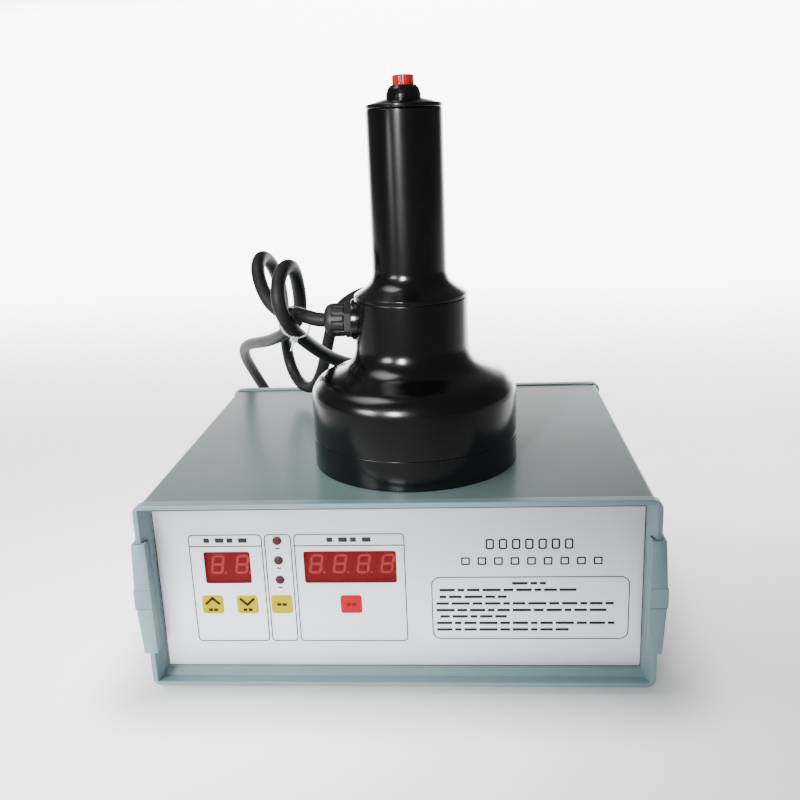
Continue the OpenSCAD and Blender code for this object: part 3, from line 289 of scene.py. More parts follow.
def eased(node, name, width, segments=2, sharp=28):
    """A copy of a solid with its hard edges rounded, in place of the solid."""
    bpy.ops.object.select_all(action="DESELECT")
    piece = bpy.data.objects.new(name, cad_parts[node].data.copy())
    piece.data.materials.clear()
    bpy.context.collection.objects.link(piece)
    piece.select_set(True)
    bpy.context.view_layer.objects.active = piece
    bpy.ops.object.mode_set(mode="EDIT")
    bpy.ops.mesh.select_all(action="SELECT")
    bpy.ops.mesh.remove_doubles(threshold=2e-6)
    bpy.ops.mesh.dissolve_limited(angle_limit=radians(0.6))
    bpy.ops.object.mode_set(mode="OBJECT")
    edge = piece.modifiers.new("edge", "BEVEL")
    edge.width = width
    edge.segments = segments
    edge.limit_method = "ANGLE"
    edge.angle_limit = radians(sharp)
    edge.use_clamp_overlap = False
    edge.miter_outer = "MITER_ARC"
    bpy.ops.object.modifier_apply(modifier="edge")
    bpy.ops.object.shade_smooth_by_angle(angle=radians(34))
    shading = piece.modifiers.new("shading", "WEIGHTED_NORMAL")
    shading.weight = 100
    shading.keep_sharp = True
    bpy.ops.object.modifier_apply(modifier="shading")
    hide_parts(node)
    return piece


tie = eased("cord_tie", "clear_tie", 0.2 * mm)
tie_clear, tone = new_finish("tie_clear")
coated(tone, {
    "Base Color": tone.blend(tone.noise(120), srgb(196, 199, 202), srgb(214, 216, 218)),
    "Roughness": 0.25 + 0.1 * tone.noise(300),
    "Alpha": 0.7,
})
dressed(tie, tie_clear)

# Bezels: two frames moulded in pale grey-blue plastic, one at each end of the case,
# with a funnel-shaped recess round the panel; screws from below hold them.
bezel_plastic, tone = new_finish("bezel_plastic")
cloud = tone.noise(18, 3)
spark = tone.noise(1500, 2)
coated(tone, {
    "Base Color": tone.blend(cloud, srgb(106, 130, 137), srgb(113, 137, 144)),
    "Roughness": 0.36 + 0.14 * tone.noise(60),
    "Normal": tone.bump(spark, 0.00004, 0.6),
})
for node in ("front_bezel", "rear_bezel"):
    dressed(eased(node, node + "_moulding", 0.5 * mm, 3), bezel_plastic)


# Side clips: four channels of the same plastic pushed over the bezels' side walls,
# each with a raised band at its middle, marked off by two fine grooves, and a hook
# behind the rim.
def settled(piece, place, turn=(0, 0, 0), size=(1, 1, 1)):
    """Stretches, turns and moves a new shape, and fixes that in its mesh."""
    piece.location = place
    piece.rotation_euler = [radians(a) for a in turn]
    piece.scale = size
    bpy.ops.object.transform_apply(location=True, rotation=True, scale=True)
    return piece


def carved(piece, tool, how="DIFFERENCE"):
    """Cuts the tool's shape out of a piece, or welds it on, and takes the tool away."""
    cut = piece.modifiers.new("cut", "BOOLEAN")
    cut.operation = how
    cut.solver = "EXACT"
    cut.object = tool
    bpy.context.view_layer.objects.active = piece
    bpy.ops.object.modifier_apply(modifier="cut")
    bpy.data.objects.remove(tool)
    bpy.ops.object.select_all(action="DESELECT")
    piece.select_set(True)


clip_x = {"left": -144.35 * mm, "right": 144.35 * mm}
clip_face_y = {"front": -125.75 * mm, "rear": 122.25 * mm}
band_edges = (55.0 * mm, 67.0 * mm)
groove_l, groove_w, groove_d = 30 * mm, 0.45 * mm, 0.45 * mm
for end in ("front", "rear"):
    for side in ("left", "right"):
        node = end + "_" + side + "_clip"
        clip = eased(node, node + "_moulding", 0.35 * mm)
        for z in band_edges:
            carved(clip, settled(blank("cube", size=1), (clip_x[side], clip_face_y[end], z),
                                 size=(groove_l, 2 * groove_d, groove_w)))
        bpy.ops.object.shade_smooth_by_angle(angle=radians(34))
        dressed(clip, bezel_plastic)

# Steel shell: a cover bent from one sheet and a tray with side flanges, both painted
# grey-green with a slightly uneven sprayed surface; vent slots are punched in the sides.
shell_paint, tone = new_finish("shell_paint")
peel = tone.noise(420, 1)
cloud = tone.noise(9, 3)
coated(tone, {
    "Base Color": tone.blend(cloud, srgb(97, 117, 116), srgb(101, 121, 119)),
    "Roughness": 0.28 + 0.03 * tone.noise(40), "Specular IOR Level": 0.07,
    "Normal": tone.bump(peel, 0.00008, 0.5),
})
for node in ("top_cover", "bottom_tray"):
    dressed(eased(node, node + "_sheet", 0.18 * mm), shell_paint)

# Feet: four buttons pressed from black rubber, one near each corner under the tray,
# each with a hollow for the head of the screw that holds it.
foot_rubber, tone = new_finish("foot_rubber")
dust = tone.noise(90, 4)
coated(tone, {
    "Base Color": tone.blend(dust, srgb(28, 28, 29), srgb(48, 48, 48)),
    "Roughness": 0.7 + 0.2 * dust,
    "Normal": tone.bump(tone.noise(1200), 0.00005),
})
dressed(eased("feet", "rubber_feet", 0.25 * mm), foot_rubber)


# Screws: zinc-plated pan-head screws with a cross recess, which hold the cover,
# the bezels and the feet.
def gathered(name, parts):
    """Joins parts into one piece."""
    bpy.ops.object.select_all(action="DESELECT")
    for part in parts:
        part.select_set(True)
    bpy.context.view_layer.objects.active = parts[0]
    bpy.ops.object.join()
    parts[0].name = name
    return parts[0]


def cross_screws(name, places, face, head_r, head_h, shank_r, shank_l):
    """Screws with a domed head and a cross recess, one at each place, heads towards face."""
    turn = [degrees(a) for a in Vector(face).to_track_quat("Z", "Y").to_euler()]
    slot_l, slot_w = 1.15 * head_r, 0.23 * head_r
    made = []
    for place in places:
        screw = settled(blank("cylinder", vertices=32, radius=head_r, depth=head_h), (0, 0, head_h / 2))
        bpy.ops.object.mode_set(mode="EDIT")
        pick("EDGE", lambda p: p.z > head_h * 0.99 and p.xy.length > head_r * 0.9)
        bpy.ops.mesh.bevel(offset=head_h * 0.7, segments=5, affect="EDGES")
        pick("FACE", lambda p: p.z < head_h * 0.01)
        bpy.ops.mesh.inset(thickness=head_r - shank_r)
        bpy.ops.mesh.extrude_region_move(TRANSFORM_OT_translate={"value": (0, 0, -shank_l)})
        bpy.ops.object.mode_set(mode="OBJECT")
        for wide, deep in ((slot_l, slot_w), (slot_w, slot_l)):
            carved(screw, settled(blank("cube", size=1), (0, 0, head_h * 0.75), size=(wide, deep, head_h)))
        made.append(settled(screw, place, turn))
    row = gathered(name, made)
    bpy.ops.object.shade_smooth_by_angle(angle=radians(40))
    return row


screw_steel, tone = new_finish("screw_steel")
coated(tone, {
    "Base Color": tone.blend(tone.noise(500), srgb(176, 178, 180), srgb(205, 206, 207)),
    "Roughness": 0.24 + 0.16 * tone.noise(800),
    "Metallic": 1.0,
})
pan_head = (2.8 * mm, 1.7 * mm, 1.45 * mm)
middle_y = -1.75 * mm
shell_half, cover_screw_z = 142 * mm, 18 * mm
cover_screw_y = (-81.75 * mm, middle_y, 78.25 * mm)
foot_x, foot_y, foot_hollow_z = 108 * mm, 81.4 * mm, 2.7 * mm
bezel_screw_x, bezel_screw_y, bezel_foot_z = 104 * mm, (-105.25 * mm, 101.75 * mm), 4.8 * mm
screw_rows = [
    ("left_cover_screw_row", "cover_screws", [(-shell_half, y, cover_screw_z) for y in cover_screw_y],
     (-1, 0, 0), 5.6 * mm),
    ("right_cover_screw_row", "cover_screws", [(shell_half, y, cover_screw_z) for y in cover_screw_y],
     (1, 0, 0), 5.6 * mm),
    ("foot_screw_row", "foot_screws",
     [(sx * foot_x, middle_y + sy * foot_y, foot_hollow_z) for sx in (-1, 1) for sy in (-1, 1)],
     (0, 0, -1), 5.3 * mm),
    ("bezel_screw_row", "bezel_screws",
     [(sx * bezel_screw_x, y, bezel_foot_z) for sx in (-1, 1) for y in bezel_screw_y],
     (0, 0, -1), 9 * mm),
]
for name, node, places, face, shank_l in screw_rows:
    row = cross_screws(name, places, face, *pan_head, shank_l)
    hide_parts(node)
    dressed(row, screw_steel)


# Front panel: a flat aluminium plate behind a printed polyester film with a satin
# silver face; the film is cut out over the two displays and the three lamps.
def refinished(node, finish):
    """Puts a finish on a solid that shows as it is."""
    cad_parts[node].data.materials.clear()
    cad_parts[node].data.materials.append(finish)


panel_aluminium, tone = new_finish("panel_aluminium")
brush = tone.noise(30, 3, (1, 1, 40))
coated(tone, {
    "Base Color": tone.blend(brush, srgb(188, 190, 193), srgb(206, 208, 211)),
    "Roughness": 0.36 + 0.1 * brush, "Metallic": 1.0,
})
printed_film, tone = new_finish("printed_film")
sheen = tone.noise(7, 2)
coated(tone, {
    "Base Color": tone.blend(sheen, srgb(218, 222, 229), srgb(229, 233, 239)),
    "Roughness": 0.33 + 0.06 * tone.noise(35, 3),
    "Metallic": 0.8,
    "Normal": tone.bump(tone.noise(1800), 0.00002, 0.5),
})
dressed(eased("panel_overlay", "panel_film", 0.1 * mm), printed_film)
refinished("front_panel", panel_aluminium)

# Film print: thin dark-grey frames round the three groups, bars over the displays
# and beside the lamps, and a framed block of bars at the right, all printed in ink.
film_y = -113.15 * mm
ink_t = 0.04 * mm


def ink_plate(x0, x1, z0, z1, corner, t=ink_t, corner_steps=5):
    """A flat plate on the film with round corners, left in edit mode with its face selected."""
    plate = settled(blank("plane", size=1), ((x0 + x1) / 2 * mm, film_y - t, (z0 + z1) / 2 * mm), (90, 0, 0),
                    ((x1 - x0) * mm, (z1 - z0) * mm, 1))
    bpy.ops.object.mode_set(mode="EDIT")
    if corner:
        bpy.ops.mesh.select_mode(type="VERT")
        bpy.ops.mesh.select_all(action="SELECT")
        bpy.ops.mesh.bevel(offset=corner * mm, segments=corner_steps, affect="VERTICES")
    bpy.ops.mesh.select_mode(type="FACE")
    bpy.ops.mesh.select_all(action="SELECT")
    return plate


def give_depth(plate, t=ink_t):
    """Gives a flat plate its thickness, back to the film."""
    bpy.ops.mesh.select_all(action="SELECT")
    bpy.ops.mesh.extrude_region_move(TRANSFORM_OT_translate={"value": (0, t, 0)})
    bpy.ops.mesh.select_all(action="SELECT")
    bpy.ops.mesh.normals_make_consistent(inside=False)
    bpy.ops.object.mode_set(mode="OBJECT")
    return plate


def printed_frame(x0, x1, z0, z1, corner, stroke):
    """A line drawn round a group, its corners rounded."""
    plate = ink_plate(x0, x1, z0, z1, corner)
    bpy.ops.mesh.inset(thickness=stroke * mm)
    bpy.ops.mesh.delete(type="FACE")
    return give_depth(plate)


def printed_bar(x0, x1, z0, z1, corner=0):
    """A plain printed bar."""
    return give_depth(ink_plate(x0, x1, z0, z1, corner, corner_steps=3))


def ink(name, first, second, scale):
    """Dull printing ink."""
    material, tone = new_finish(name)
    coated(tone, {
        "Base Color": tone.blend(tone.noise(scale), first, second),
        "Roughness": 0.5 + 0.1 * tone.noise(90), "Specular IOR Level": 0.15,
    })
    return material


line_w = 0.6
group_z0, group_z1, group_corner, header_z = 27.4, 95.5, 2.6, 88.2
groups = ((-118.5, -75.8), (-74.6, -59.1), (-57.7, 5.2))
lamp_heights = (91.4, 79.2, 67.0)
strokes = [printed_frame(x0, x1, group_z0, group_z1, group_corner, line_w) for x0, x1 in groups]
for x0, x1 in (groups[0], groups[2]):
    strokes.append(printed_bar(x0 + line_w / 2, x1 - line_w / 2, header_z - line_w / 2, header_z + line_w / 2))
strokes.append(printed_frame(19.4, 130.6, 28.9, 68.4, 5, line_w))
strokes.append(printed_frame(-138.0, 138.0, 11.3, 110.7, 0.4, 0.5))
header_z0, header_z1, header_pitch = 90.4, 93.2, 6.7
for middle in (-97, -26.3):
    for i, wide in enumerate((3.4, 5.0, 3.4, 5.0)):
        x = middle - 12.6 + i * header_pitch
        strokes.append(printed_bar(x, x + wide, header_z0, header_z1, 0.5))
for z in lamp_heights:
    strokes.append(printed_bar(-68.4, -66.0, z - 5.2, z - 4.4, 0.2))
print_ink = ink("print_ink", (0.012, 0.013, 0.015, 1), (0.022, 0.023, 0.026, 1), 700)
dressed(gathered("panel_lines", strokes), print_ink)

title = [printed_frame(50.4 + 7.3 * i, 55.2 + 7.3 * i, 85.2, 91.6, 1.2, 1.0) for i in range(7)]
title += [printed_frame(36.6 + 9.2 * i, 41.6 + 9.2 * i, 75.6, 80.4, 0.8, 0.9) for i in range(9)]
bar_rows = ((66.0, 65, 84), (61.9, 24, 101), (57.6, 24, 62), (53.4, 22, 122), (49.2, 22, 118), (45.2, 24, 62),
            (41.0, 22, 126), (36.8, 22, 97))
bar_lengths, bar_gap, shortest_bar = (5.6, 8.8, 3.8, 7.2, 10.4), 1.5, 3
for z, x0, x1 in bar_rows:
    x = x0
    step = 0
    while x < x1 - shortest_bar:
        wide = bar_lengths[(step + int(z)) % len(bar_lengths)]
        title.append(printed_bar(x, min(x + wide, x1), z - 2.6, z - 1.0, 0.3))
        x += wide + bar_gap
        step += 1
block_ink = ink("block_ink", (0.010, 0.011, 0.016, 1), (0.020, 0.021, 0.028, 1), 600)
dressed(gathered("panel_blocks", title), block_ink)

# Keys: four pads pressed up in the film over their switches, printed yellow and coral,
# with chevrons in brown ink on the up and down keys and plain marks on the others.
up_x, down_x, power_x, reset_x, key_z = -107.8, -87.4, -67.2, -26.8, 51.4
key_half_w, key_half_h, key_corner, key_rise = 6.15, 5.7, 1.7, 0.22
arm_l, arm_w, arm_run, arm_drop = 6.3, 1.6, 3.9, 3.7
mark_front, mark_t = 0.28 * mm, 0.06 * mm


def key_pad(x):
    """A softly raised pad with round corners and a rolled edge."""
    pad = ink_plate(x - key_half_w, x + key_half_w, key_z - key_half_h, key_z + key_half_h, key_corner,
                    0.02 * mm, 6)
    bpy.ops.mesh.extrude_region_move(TRANSFORM_OT_translate={"value": (0, -key_rise * mm * 0.7, 0)})
    for inset, share in ((0.5, 0.22), (0.7, 0.08)):
        bpy.ops.mesh.inset(thickness=inset * mm)
        bpy.ops.transform.translate(value=(0, -key_rise * mm * share, 0))
    bpy.ops.mesh.select_all(action="SELECT")
    bpy.ops.mesh.normals_make_consistent(inside=False)
    bpy.ops.object.mode_set(mode="OBJECT")
    bpy.ops.object.shade_smooth()
    return pad


def chevron(x, z, up):
    """Two printed strokes that meet in a point."""
    arms = []
    for side in (-1, 1):
        run_x, run_z = side * arm_run, -arm_drop * up
        arm = settled(blank("plane", size=1), ((x + run_x / 2) * mm, film_y - mark_front, (z + run_z / 2) * mm),
                      (90, -degrees(atan2(run_z, run_x)), 0), (arm_l * mm, arm_w * mm, 1))
        bpy.ops.object.mode_set(mode="EDIT")
        arms.append(give_depth(arm, mark_t))
    return arms


def key_mark(x, z, wide):
    """Two short bars printed on a pad."""
    marks = []
    for side in (-1, 1):
        middle = x + side * wide / 4
        bar = ink_plate(middle - wide / 5, middle + wide / 5, z - 0.9, z + 0.9, 0.3, mark_front, 2)
        marks.append(give_depth(bar, mark_t))
    return marks


def film_colour(name, first, second):
    """Coloured film with the satin face of the rest."""
    material, tone = new_finish(name)
    coated(tone, {
        "Base Color": tone.blend(tone.noise(60, 3), first, second),
        "Roughness": 0.5 + 0.12 * tone.noise(200), "Specular IOR Level": 0.08,
        "Normal": tone.bump(tone.noise(1800), 0.00002, 0.5),
    })
    return material


key_yellow = film_colour("key_yellow", (0.37, 0.30, 0.0, 1), (0.41, 0.33, 0.0, 1))
key_coral = film_colour("key_coral", (0.35, 0.006, 0.012, 1), (0.39, 0.009, 0.016, 1))
key_brown = film_colour("key_brown", (0.020, 0.008, 0.001, 1), (0.034, 0.014, 0.002, 1))
key_shade = film_colour("key_shade", (0.16, 0.003, 0.006, 1), (0.19, 0.004, 0.008, 1))
yellow = gathered("yellow_keys", [key_pad(x) for x in (up_x, down_x, power_x)])
dressed(yellow, key_yellow)
coral = key_pad(reset_x)
coral.name = "coral_key"
dressed(coral, key_coral)
marks = chevron(up_x, key_z + 4.2, 1) + chevron(down_x, key_z - 0.1, -1)
marks += key_mark(up_x, key_z - 3.3, 6) + key_mark(down_x, key_z - 3.3, 6) + key_mark(power_x, key_z, 6.4)
dressed(gathered("key_marks", marks), key_brown)
dressed(gathered("coral_mark", key_mark(reset_x, key_z, 6.4)), key_shade)

# Displays: seven-segment modules behind red acrylic filters set flush in the panel;
# unlit segments show as paler strokes, slanted, with a decimal point after each;
# the module faces and the segments carry a painted red glow.
filter_red, tone = new_finish("filter_red")
coated(tone, {
    "Base Color": tone.blend(tone.noise(30), (0.13, 0.003, 0.005, 1), (0.16, 0.004, 0.006, 1)),
    "Roughness": 0.1 + 0.05 * tone.noise(50), "Specular IOR Level": 0.15, "Alpha": 0.5,
})
# Module face: dark red with a faint painted red glow.
module_face_painted_glow, tone = new_finish("module_face_painted_glow")
coated(tone, {
    "Base Color": tone.blend(tone.noise(80), (0.15, 0.004, 0.006, 1), (0.18, 0.006, 0.008, 1)),
    "Roughness": 0.5 + 0.1 * tone.noise(200),
    "Emission Color": (0.06, 0.001, 0.002, 1), "Emission Strength": 1.0,
})
# Segments: pale red with a painted red glow, though they are unlit.
segment_red_painted_glow, tone = new_finish("segment_red_painted_glow")
coated(tone, {
    "Base Color": tone.blend(tone.noise(300), (0.95, 0.24, 0.20, 1), (1.0, 0.30, 0.26, 1)),
    "Roughness": 0.4 + 0.1 * tone.noise(300),
    "Emission Color": (0.56, 0.05, 0.04, 1), "Emission Strength": 1.0,
})
for window in ("time", "count"):
    refinished(window + "_filter", filter_red)
    refinished(window + "_display", module_face_painted_glow)
digit_z = 75.6
digit_w, digit_h, stroke, stroke_gap = 7.6, 12.1, 1.5, 0.3
half_w, half_h = (digit_w - stroke) / 2, (digit_h - stroke) / 2
point_r, point_off = 0.75, 1.3
slant = tan(radians(9.5))
face_y, segment_t = -110.55 * mm, 0.06 * mm
window_digits = {"time_digits": (-103.4, -89.1), "count_digits": (-46.1, -32.4, -18.8, -5.1)}


def segment(x, z, length, upright):
    """One bar of a digit with pointed ends, sheared by the digit's slant."""
    wide, high = (stroke, length) if upright else (length, stroke)
    bar = settled(blank("plane", size=1), (x * mm, face_y - segment_t, z * mm), (90, 0, 0),
                  (wide * mm, high * mm, 1))
    bpy.ops.object.mode_set(mode="EDIT")
    bpy.ops.mesh.select_mode(type="VERT")
    bpy.ops.mesh.select_all(action="SELECT")
    bpy.ops.mesh.bevel(offset=stroke * 0.45 * mm, segments=1, affect="VERTICES")
    give_depth(bar, segment_t)
    for corner in bar.data.vertices:
        corner.co.x += (corner.co.z - digit_z * mm) * slant
    return bar


def digit(x):
    """The seven bars and the point of one digit."""
    bars = [segment(x, digit_z + s * half_h, digit_w - stroke - stroke_gap, False) for s in (-1, 0, 1)]
    bars += [segment(x + sx * half_w, digit_z + sz * half_h / 2, half_h - stroke_gap, True)
             for sx in (-1, 1) for sz in (-1, 1)]
    point = settled(blank("circle", vertices=16, radius=point_r * mm, fill_type="NGON"),
                    ((x + half_w + point_off) * mm, face_y - segment_t, (digit_z - half_h) * mm), (90, 0, 0))
    bpy.ops.object.mode_set(mode="EDIT")
    bars.append(give_depth(point, segment_t))
    return bars


for name, digit_places in window_digits.items():
    figures = gathered(name, [bar for x in digit_places for bar in digit(x)])
    dressed(figures, segment_red_painted_glow)

# Level lamps: three dark red lenses pushed through the film from behind, with a
# slightly domed face, a flange behind the panel and two legs soldered to the board.
lamp_x, lamp_r, lamp_flange_r, lamp_proud = -67.2 * mm, 2.5 * mm, 2.9 * mm, 0.3 * mm
lamp_flange_y = (-110.45 * mm, -109.25 * mm)
leg_off, leg_w, leg_y = 1.27 * mm, 0.5 * mm, (-109.75 * mm, -102.55 * mm)


def lamp_rod(z, r, y0, y1):
    """A round bar through the panel at a lamp's height."""
    return settled(blank("cylinder", vertices=40, radius=r, depth=y1 - y0),
                   (lamp_x, (y0 + y1) / 2, z), (90, 0, 0))


lenses = []
for z in [height * mm for height in lamp_heights]:
    lamp = lamp_rod(z, lamp_r, film_y - lamp_proud, sum(lamp_flange_y) / 2)
    bpy.ops.object.mode_set(mode="EDIT")
    pick("FACE", lambda p: p.y < film_y)
    for inset, rise in ((0.5, 0.25), (0.7, 0.14), (0.6, 0.05)):
        bpy.ops.mesh.inset(thickness=inset * mm)
        bpy.ops.transform.translate(value=(0, -rise * mm, 0))
    bpy.ops.object.mode_set(mode="OBJECT")
    carved(lamp, lamp_rod(z, lamp_flange_r, *lamp_flange_y), "UNION")
    for side in (-1, 1):
        carved(lamp, settled(blank("cube", size=1), (lamp_x + side * leg_off, sum(leg_y) / 2, z),
                             size=(leg_w, leg_y[1] - leg_y[0], leg_w)), "UNION")
    bpy.ops.object.shade_smooth_by_angle(angle=radians(50))
    lenses.append(lamp)
lamp_red, tone = new_finish("lamp_red")
coated(tone, {
    "Base Color": tone.blend(tone.noise(260, 2), (0.030, 0.002, 0.004, 1), (0.050, 0.005, 0.008, 1)),
    "Roughness": 0.42 + 0.1 * tone.noise(300), "Specular IOR Level": 0.3,
})
lamps = gathered("level_lamps", lenses)
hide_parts("level_leds")
dressed(lamps, lamp_red)


# Back: an aluminium panel with the mains inlet, a rocker switch, the fan behind a
# punched grille and the cord's gland; the rocker, inlet and fan are black plastic.
def moulded(name, dark, pale, gloss, grain):
    """Moulded plastic with a slightly uneven gloss and a fine grain."""
    material, tone = new_finish(name)
    patch = tone.noise(70, 3)
    coated(tone, {
        "Base Color": tone.blend(patch, dark, pale),
        "Roughness": gloss + 0.1 * tone.noise(160),
        "Normal": tone.bump(tone.noise(grain), 0.00003, 0.6),
    })
    return material


def cable_gland(end):
    """The body, fluted nut and locknut of the gland at one end of the cord."""
    for part in ("body", "nut", "locknut"):
        node = end + "_gland_" + part
        dressed(eased(node, node + "_moulding", 0.2 * mm, sharp=40), gland_plastic)


black_plastic = moulded("black_plastic", srgb(24, 24, 26), srgb(34, 34, 36), 0.38, 1400)
gland_plastic = moulded("gland_plastic", (0.004, 0.004, 0.005, 1), (0.006, 0.006, 0.007, 1), 0.46, 1100)
dressed(eased("rear_panel", "rear_plate", 0.15 * mm), panel_aluminium)
rear_bodies = {
    "mains_inlet": (0.5, "sealer"), "rocker_frame": (0.4, "sealer"), "rocker": (0.35, "mains_rocker"),
    "fan_frame": (0.2, "sealer"), "fan_rotor": (0.1, "fan_wheel"),
}
for node, (edge, body) in rear_bodies.items():
    dressed(eased(node, node + "_moulding", edge * mm), black_plastic, body)
cable_gland("rear")
fan_x, fan_z, fan_hole_off, rear_face_y = 70 * mm, 61 * mm, 25 * mm, 109.25 * mm
fan_places = [(fan_x + sx * fan_hole_off, rear_face_y, fan_z + sz * fan_hole_off)
              for sx in (-1, 1) for sz in (-1, 1)]
fan_row = cross_screws("fan_screw_row", fan_places, (0, 1, 0), 3.6 * mm, 2 * mm, 2 * mm, 24 * mm)
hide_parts("fan_screws")
dressed(fan_row, screw_steel)


# Inside: a board on pillars with a finned heat sink, transistors, capacitors and a
# transformer, and the display board with its switches; seen only through the vents.
def bare_metal(tone, grain, dark, pale, roughness, shine=1.0):
    """Ends a material as bare metal, with its colour uneven in the given grain."""
    coated(tone, {"Base Color": tone.blend(grain, dark, pale), "Roughness": roughness, "Metallic": shine})


pin_brass, tone = new_finish("pin_brass")
bare_metal(tone, tone.noise(300), srgb(190, 186, 170), srgb(208, 204, 190), 0.25 + 0.1 * tone.noise(200))
sink_aluminium, tone = new_finish("sink_aluminium")
bare_metal(tone, tone.noise(30, 3, (1, 30, 1)), srgb(160, 162, 164), srgb(186, 188, 190),
           0.4 + 0.12 * tone.noise(80))
litz_copper, tone = new_finish("litz_copper")
bare_metal(tone, tone.noise(500, 3), srgb(150, 76, 36), srgb(188, 104, 56), 0.4 + 0.15 * tone.noise(900), 0.9)
board_green = moulded("board_green", srgb(18, 70, 42), srgb(24, 84, 52), 0.4, 900)
capacitor_sleeve = moulded("capacitor_sleeve", srgb(30, 44, 92), srgb(38, 54, 108), 0.32, 700)
ferrite = moulded("ferrite", srgb(52, 52, 54), srgb(70, 70, 72), 0.6, 500)
former_plastic = moulded("former_plastic", srgb(214, 206, 186), srgb(226, 220, 202), 0.5, 600)
inner_finishes = {
    "inlet_pins": pin_brass, "display_board": board_green, "display_standoffs": screw_steel,
    "tact_switches": black_plastic, "up_key_stem": black_plastic, "down_key_stem": black_plastic,
    "power_key_stem": black_plastic, "reset_key_stem": black_plastic, "main_board": board_green,
    "board_standoffs": screw_steel, "heat_sink": sink_aluminium, "power_transistors": black_plastic,
    "capacitors": capacitor_sleeve, "transformer": ferrite, "coil_former": former_plastic,
    "induction_coil": litz_copper, "ferrite_bars": ferrite, "switch_nut": screw_steel,
}
for node, finish in inner_finishes.items():
    refinished(node, finish)

# Sealing head: four round mouldings in glossy black plastic, the coil cover, the bell
# with a pad for the cord's gland, the handle with its flare and the cap, one spigoted
# into the next. Profiles are corners of radius, height over the cover and rounding.
head_x, head_y, seat_z = 9.5, -45.25, cover_top_z
cover_profile = [
    (0, 0, 0), (62, 0, 1.0), (62, 18, 0.35), (58.8, 18, 0), (58.8, 26, 0), (56.8, 26, 0), (56.8, 3, 0), (0, 3, 0)]
bell_profile = [
    (59, 18, 0), (62, 18, 0.35), (62, 51.11, 13), (33.6, 61.44, 16), (33.6, 100, 0.8),
    (30.6, 100, 0), (30.6, 59.34, 19), (59, 49.0, 10), (59, 18, 0)]
handle_profile = [
    (28.4, 92, 0), (30.4, 92, 0), (30.4, 100, 0), (33.4, 100, 0.5), (33.4, 102.3, 0.5), (21.7, 109.9, 12),
    (21.7, 206, 0.7), (18.7, 206, 0), (18.7, 116.3, 0), (28.4, 101, 0), (28.4, 92, 0)]
cap_profile = [
    (6.1, 207.5, 0), (16.5, 207.5, 0), (16.5, 198, 0), (18.5, 198, 0), (18.5, 206, 0), (20.8, 206, 0),
    (21.7, 206.9, 0.3), (21.7, 208.7, 0.8), (11, 211.5, 1), (6.1, 211.5, 0), (6.1, 207.5, 0)]
gland_h, pad_r, pad_face, pad_root, pad_edge = 87, 12.2, -35.5, -31, 0.7
bore_r, nut_pocket_r, nut_pocket_face = 7.8, 11.47, -32
notch_x, notch_half, notch_z = (-30.6, -15.3), 12.47, (91, 99.4)


def softened(corners):
    """The points of a profile, with each of its corners rounded."""
    points = []
    for i, (r, h, rounding) in enumerate(corners):
        here = Vector((r, h))
        if not rounding or i in (0, len(corners) - 1):
            points.append(here)
            continue
        back = (Vector(corners[i - 1][:2]) - here).normalized()
        ahead = (Vector(corners[i + 1][:2]) - here).normalized()
        half = back.angle(ahead) / 2
        middle = here + (back + ahead).normalized() * rounding / sin(half)
        first = here + back * rounding / tan(half) - middle
        turn = first.angle_signed(here + ahead * rounding / tan(half) - middle)
        steps = max(3, int(abs(degrees(turn)) / 5))
        for k in range(steps + 1):
            a = -turn * k / steps
            points.append(middle + Vector((first.x * cos(a) - first.y * sin(a),
                                           first.x * sin(a) + first.y * cos(a))))
    return points


def turned(name, corners, steps=128):
    """A round moulding on the head's axis, spun from its profile."""
    profile = softened(corners)
    piece = blank("plane", size=0.001)
    piece.name = name
    bpy.ops.object.mode_set(mode="EDIT")
    bpy.ops.mesh.select_mode(type="VERT")
    bpy.ops.mesh.select_all(action="SELECT")
    bpy.ops.mesh.merge(type="CENTER")
    r, h = profile[0]
    bpy.ops.transform.translate(value=((head_x + r) * mm, head_y * mm, (seat_z + h) * mm))
    for before, after in zip(profile, profile[1:]):
        step = (after - before) * mm
        bpy.ops.mesh.extrude_vertices_move(TRANSFORM_OT_translate={"value": (step.x, 0, step.y)})
    bpy.ops.mesh.select_all(action="SELECT")
    bpy.ops.mesh.spin(steps=steps, angle=2 * pi, center=(head_x * mm, head_y * mm, 0), axis=(0, 0, 1))
    bpy.ops.mesh.select_all(action="SELECT")
    bpy.ops.mesh.remove_doubles(threshold=2e-6)
    bpy.ops.mesh.normals_make_consistent(inside=False)
    bpy.ops.object.mode_set(mode="OBJECT")
    bpy.ops.object.shade_smooth_by_angle(angle=radians(40))
    return piece


def on_head(x, h):
    """A point x to the side of the head's axis, at the height h over the cover."""
    return (head_x + x) * mm, head_y * mm, (seat_z + h) * mm


def cross_rod(r, x0, x1):
    """A round bar on the gland's line, from x0 to x1 off the head's axis."""
    return settled(blank("cylinder", vertices=64, radius=r * mm, depth=(x1 - x0) * mm),
                   on_head((x0 + x1) / 2, gland_h), (0, -90, 0))


head_plastic, tone = new_finish("head_plastic")
touch = tone.noise(26, 4)
coated(tone, {
    "Base Color": tone.blend(touch, (0.0010, 0.0010, 0.0012, 1), (0.0020, 0.0020, 0.0023, 1)),
    "Roughness": 0.15 + 0.1 * touch,
    "Normal": tone.bump(tone.noise(1300), 0.00002, 0.4),
    "Specular IOR Level": 0.5,
})
coil_cover = turned("coil_cover_moulding", cover_profile)
bell = turned("bell_moulding", bell_profile)
pad = cross_rod(pad_r, pad_face, pad_root)
bpy.ops.object.mode_set(mode="EDIT")
pick("EDGE", lambda p: p.x < (head_x + pad_face + 0.1) * mm)
bpy.ops.mesh.bevel(offset=pad_edge * mm, segments=3, affect="EDGES")
bpy.ops.object.mode_set(mode="OBJECT")
carved(bell, pad, "UNION")
carved(bell, cross_rod(bore_r, pad_face - 1, 0))
carved(bell, cross_rod(nut_pocket_r, nut_pocket_face, 0))
bpy.ops.object.shade_smooth_by_angle(angle=radians(40))
handle = turned("handle_moulding", handle_profile)
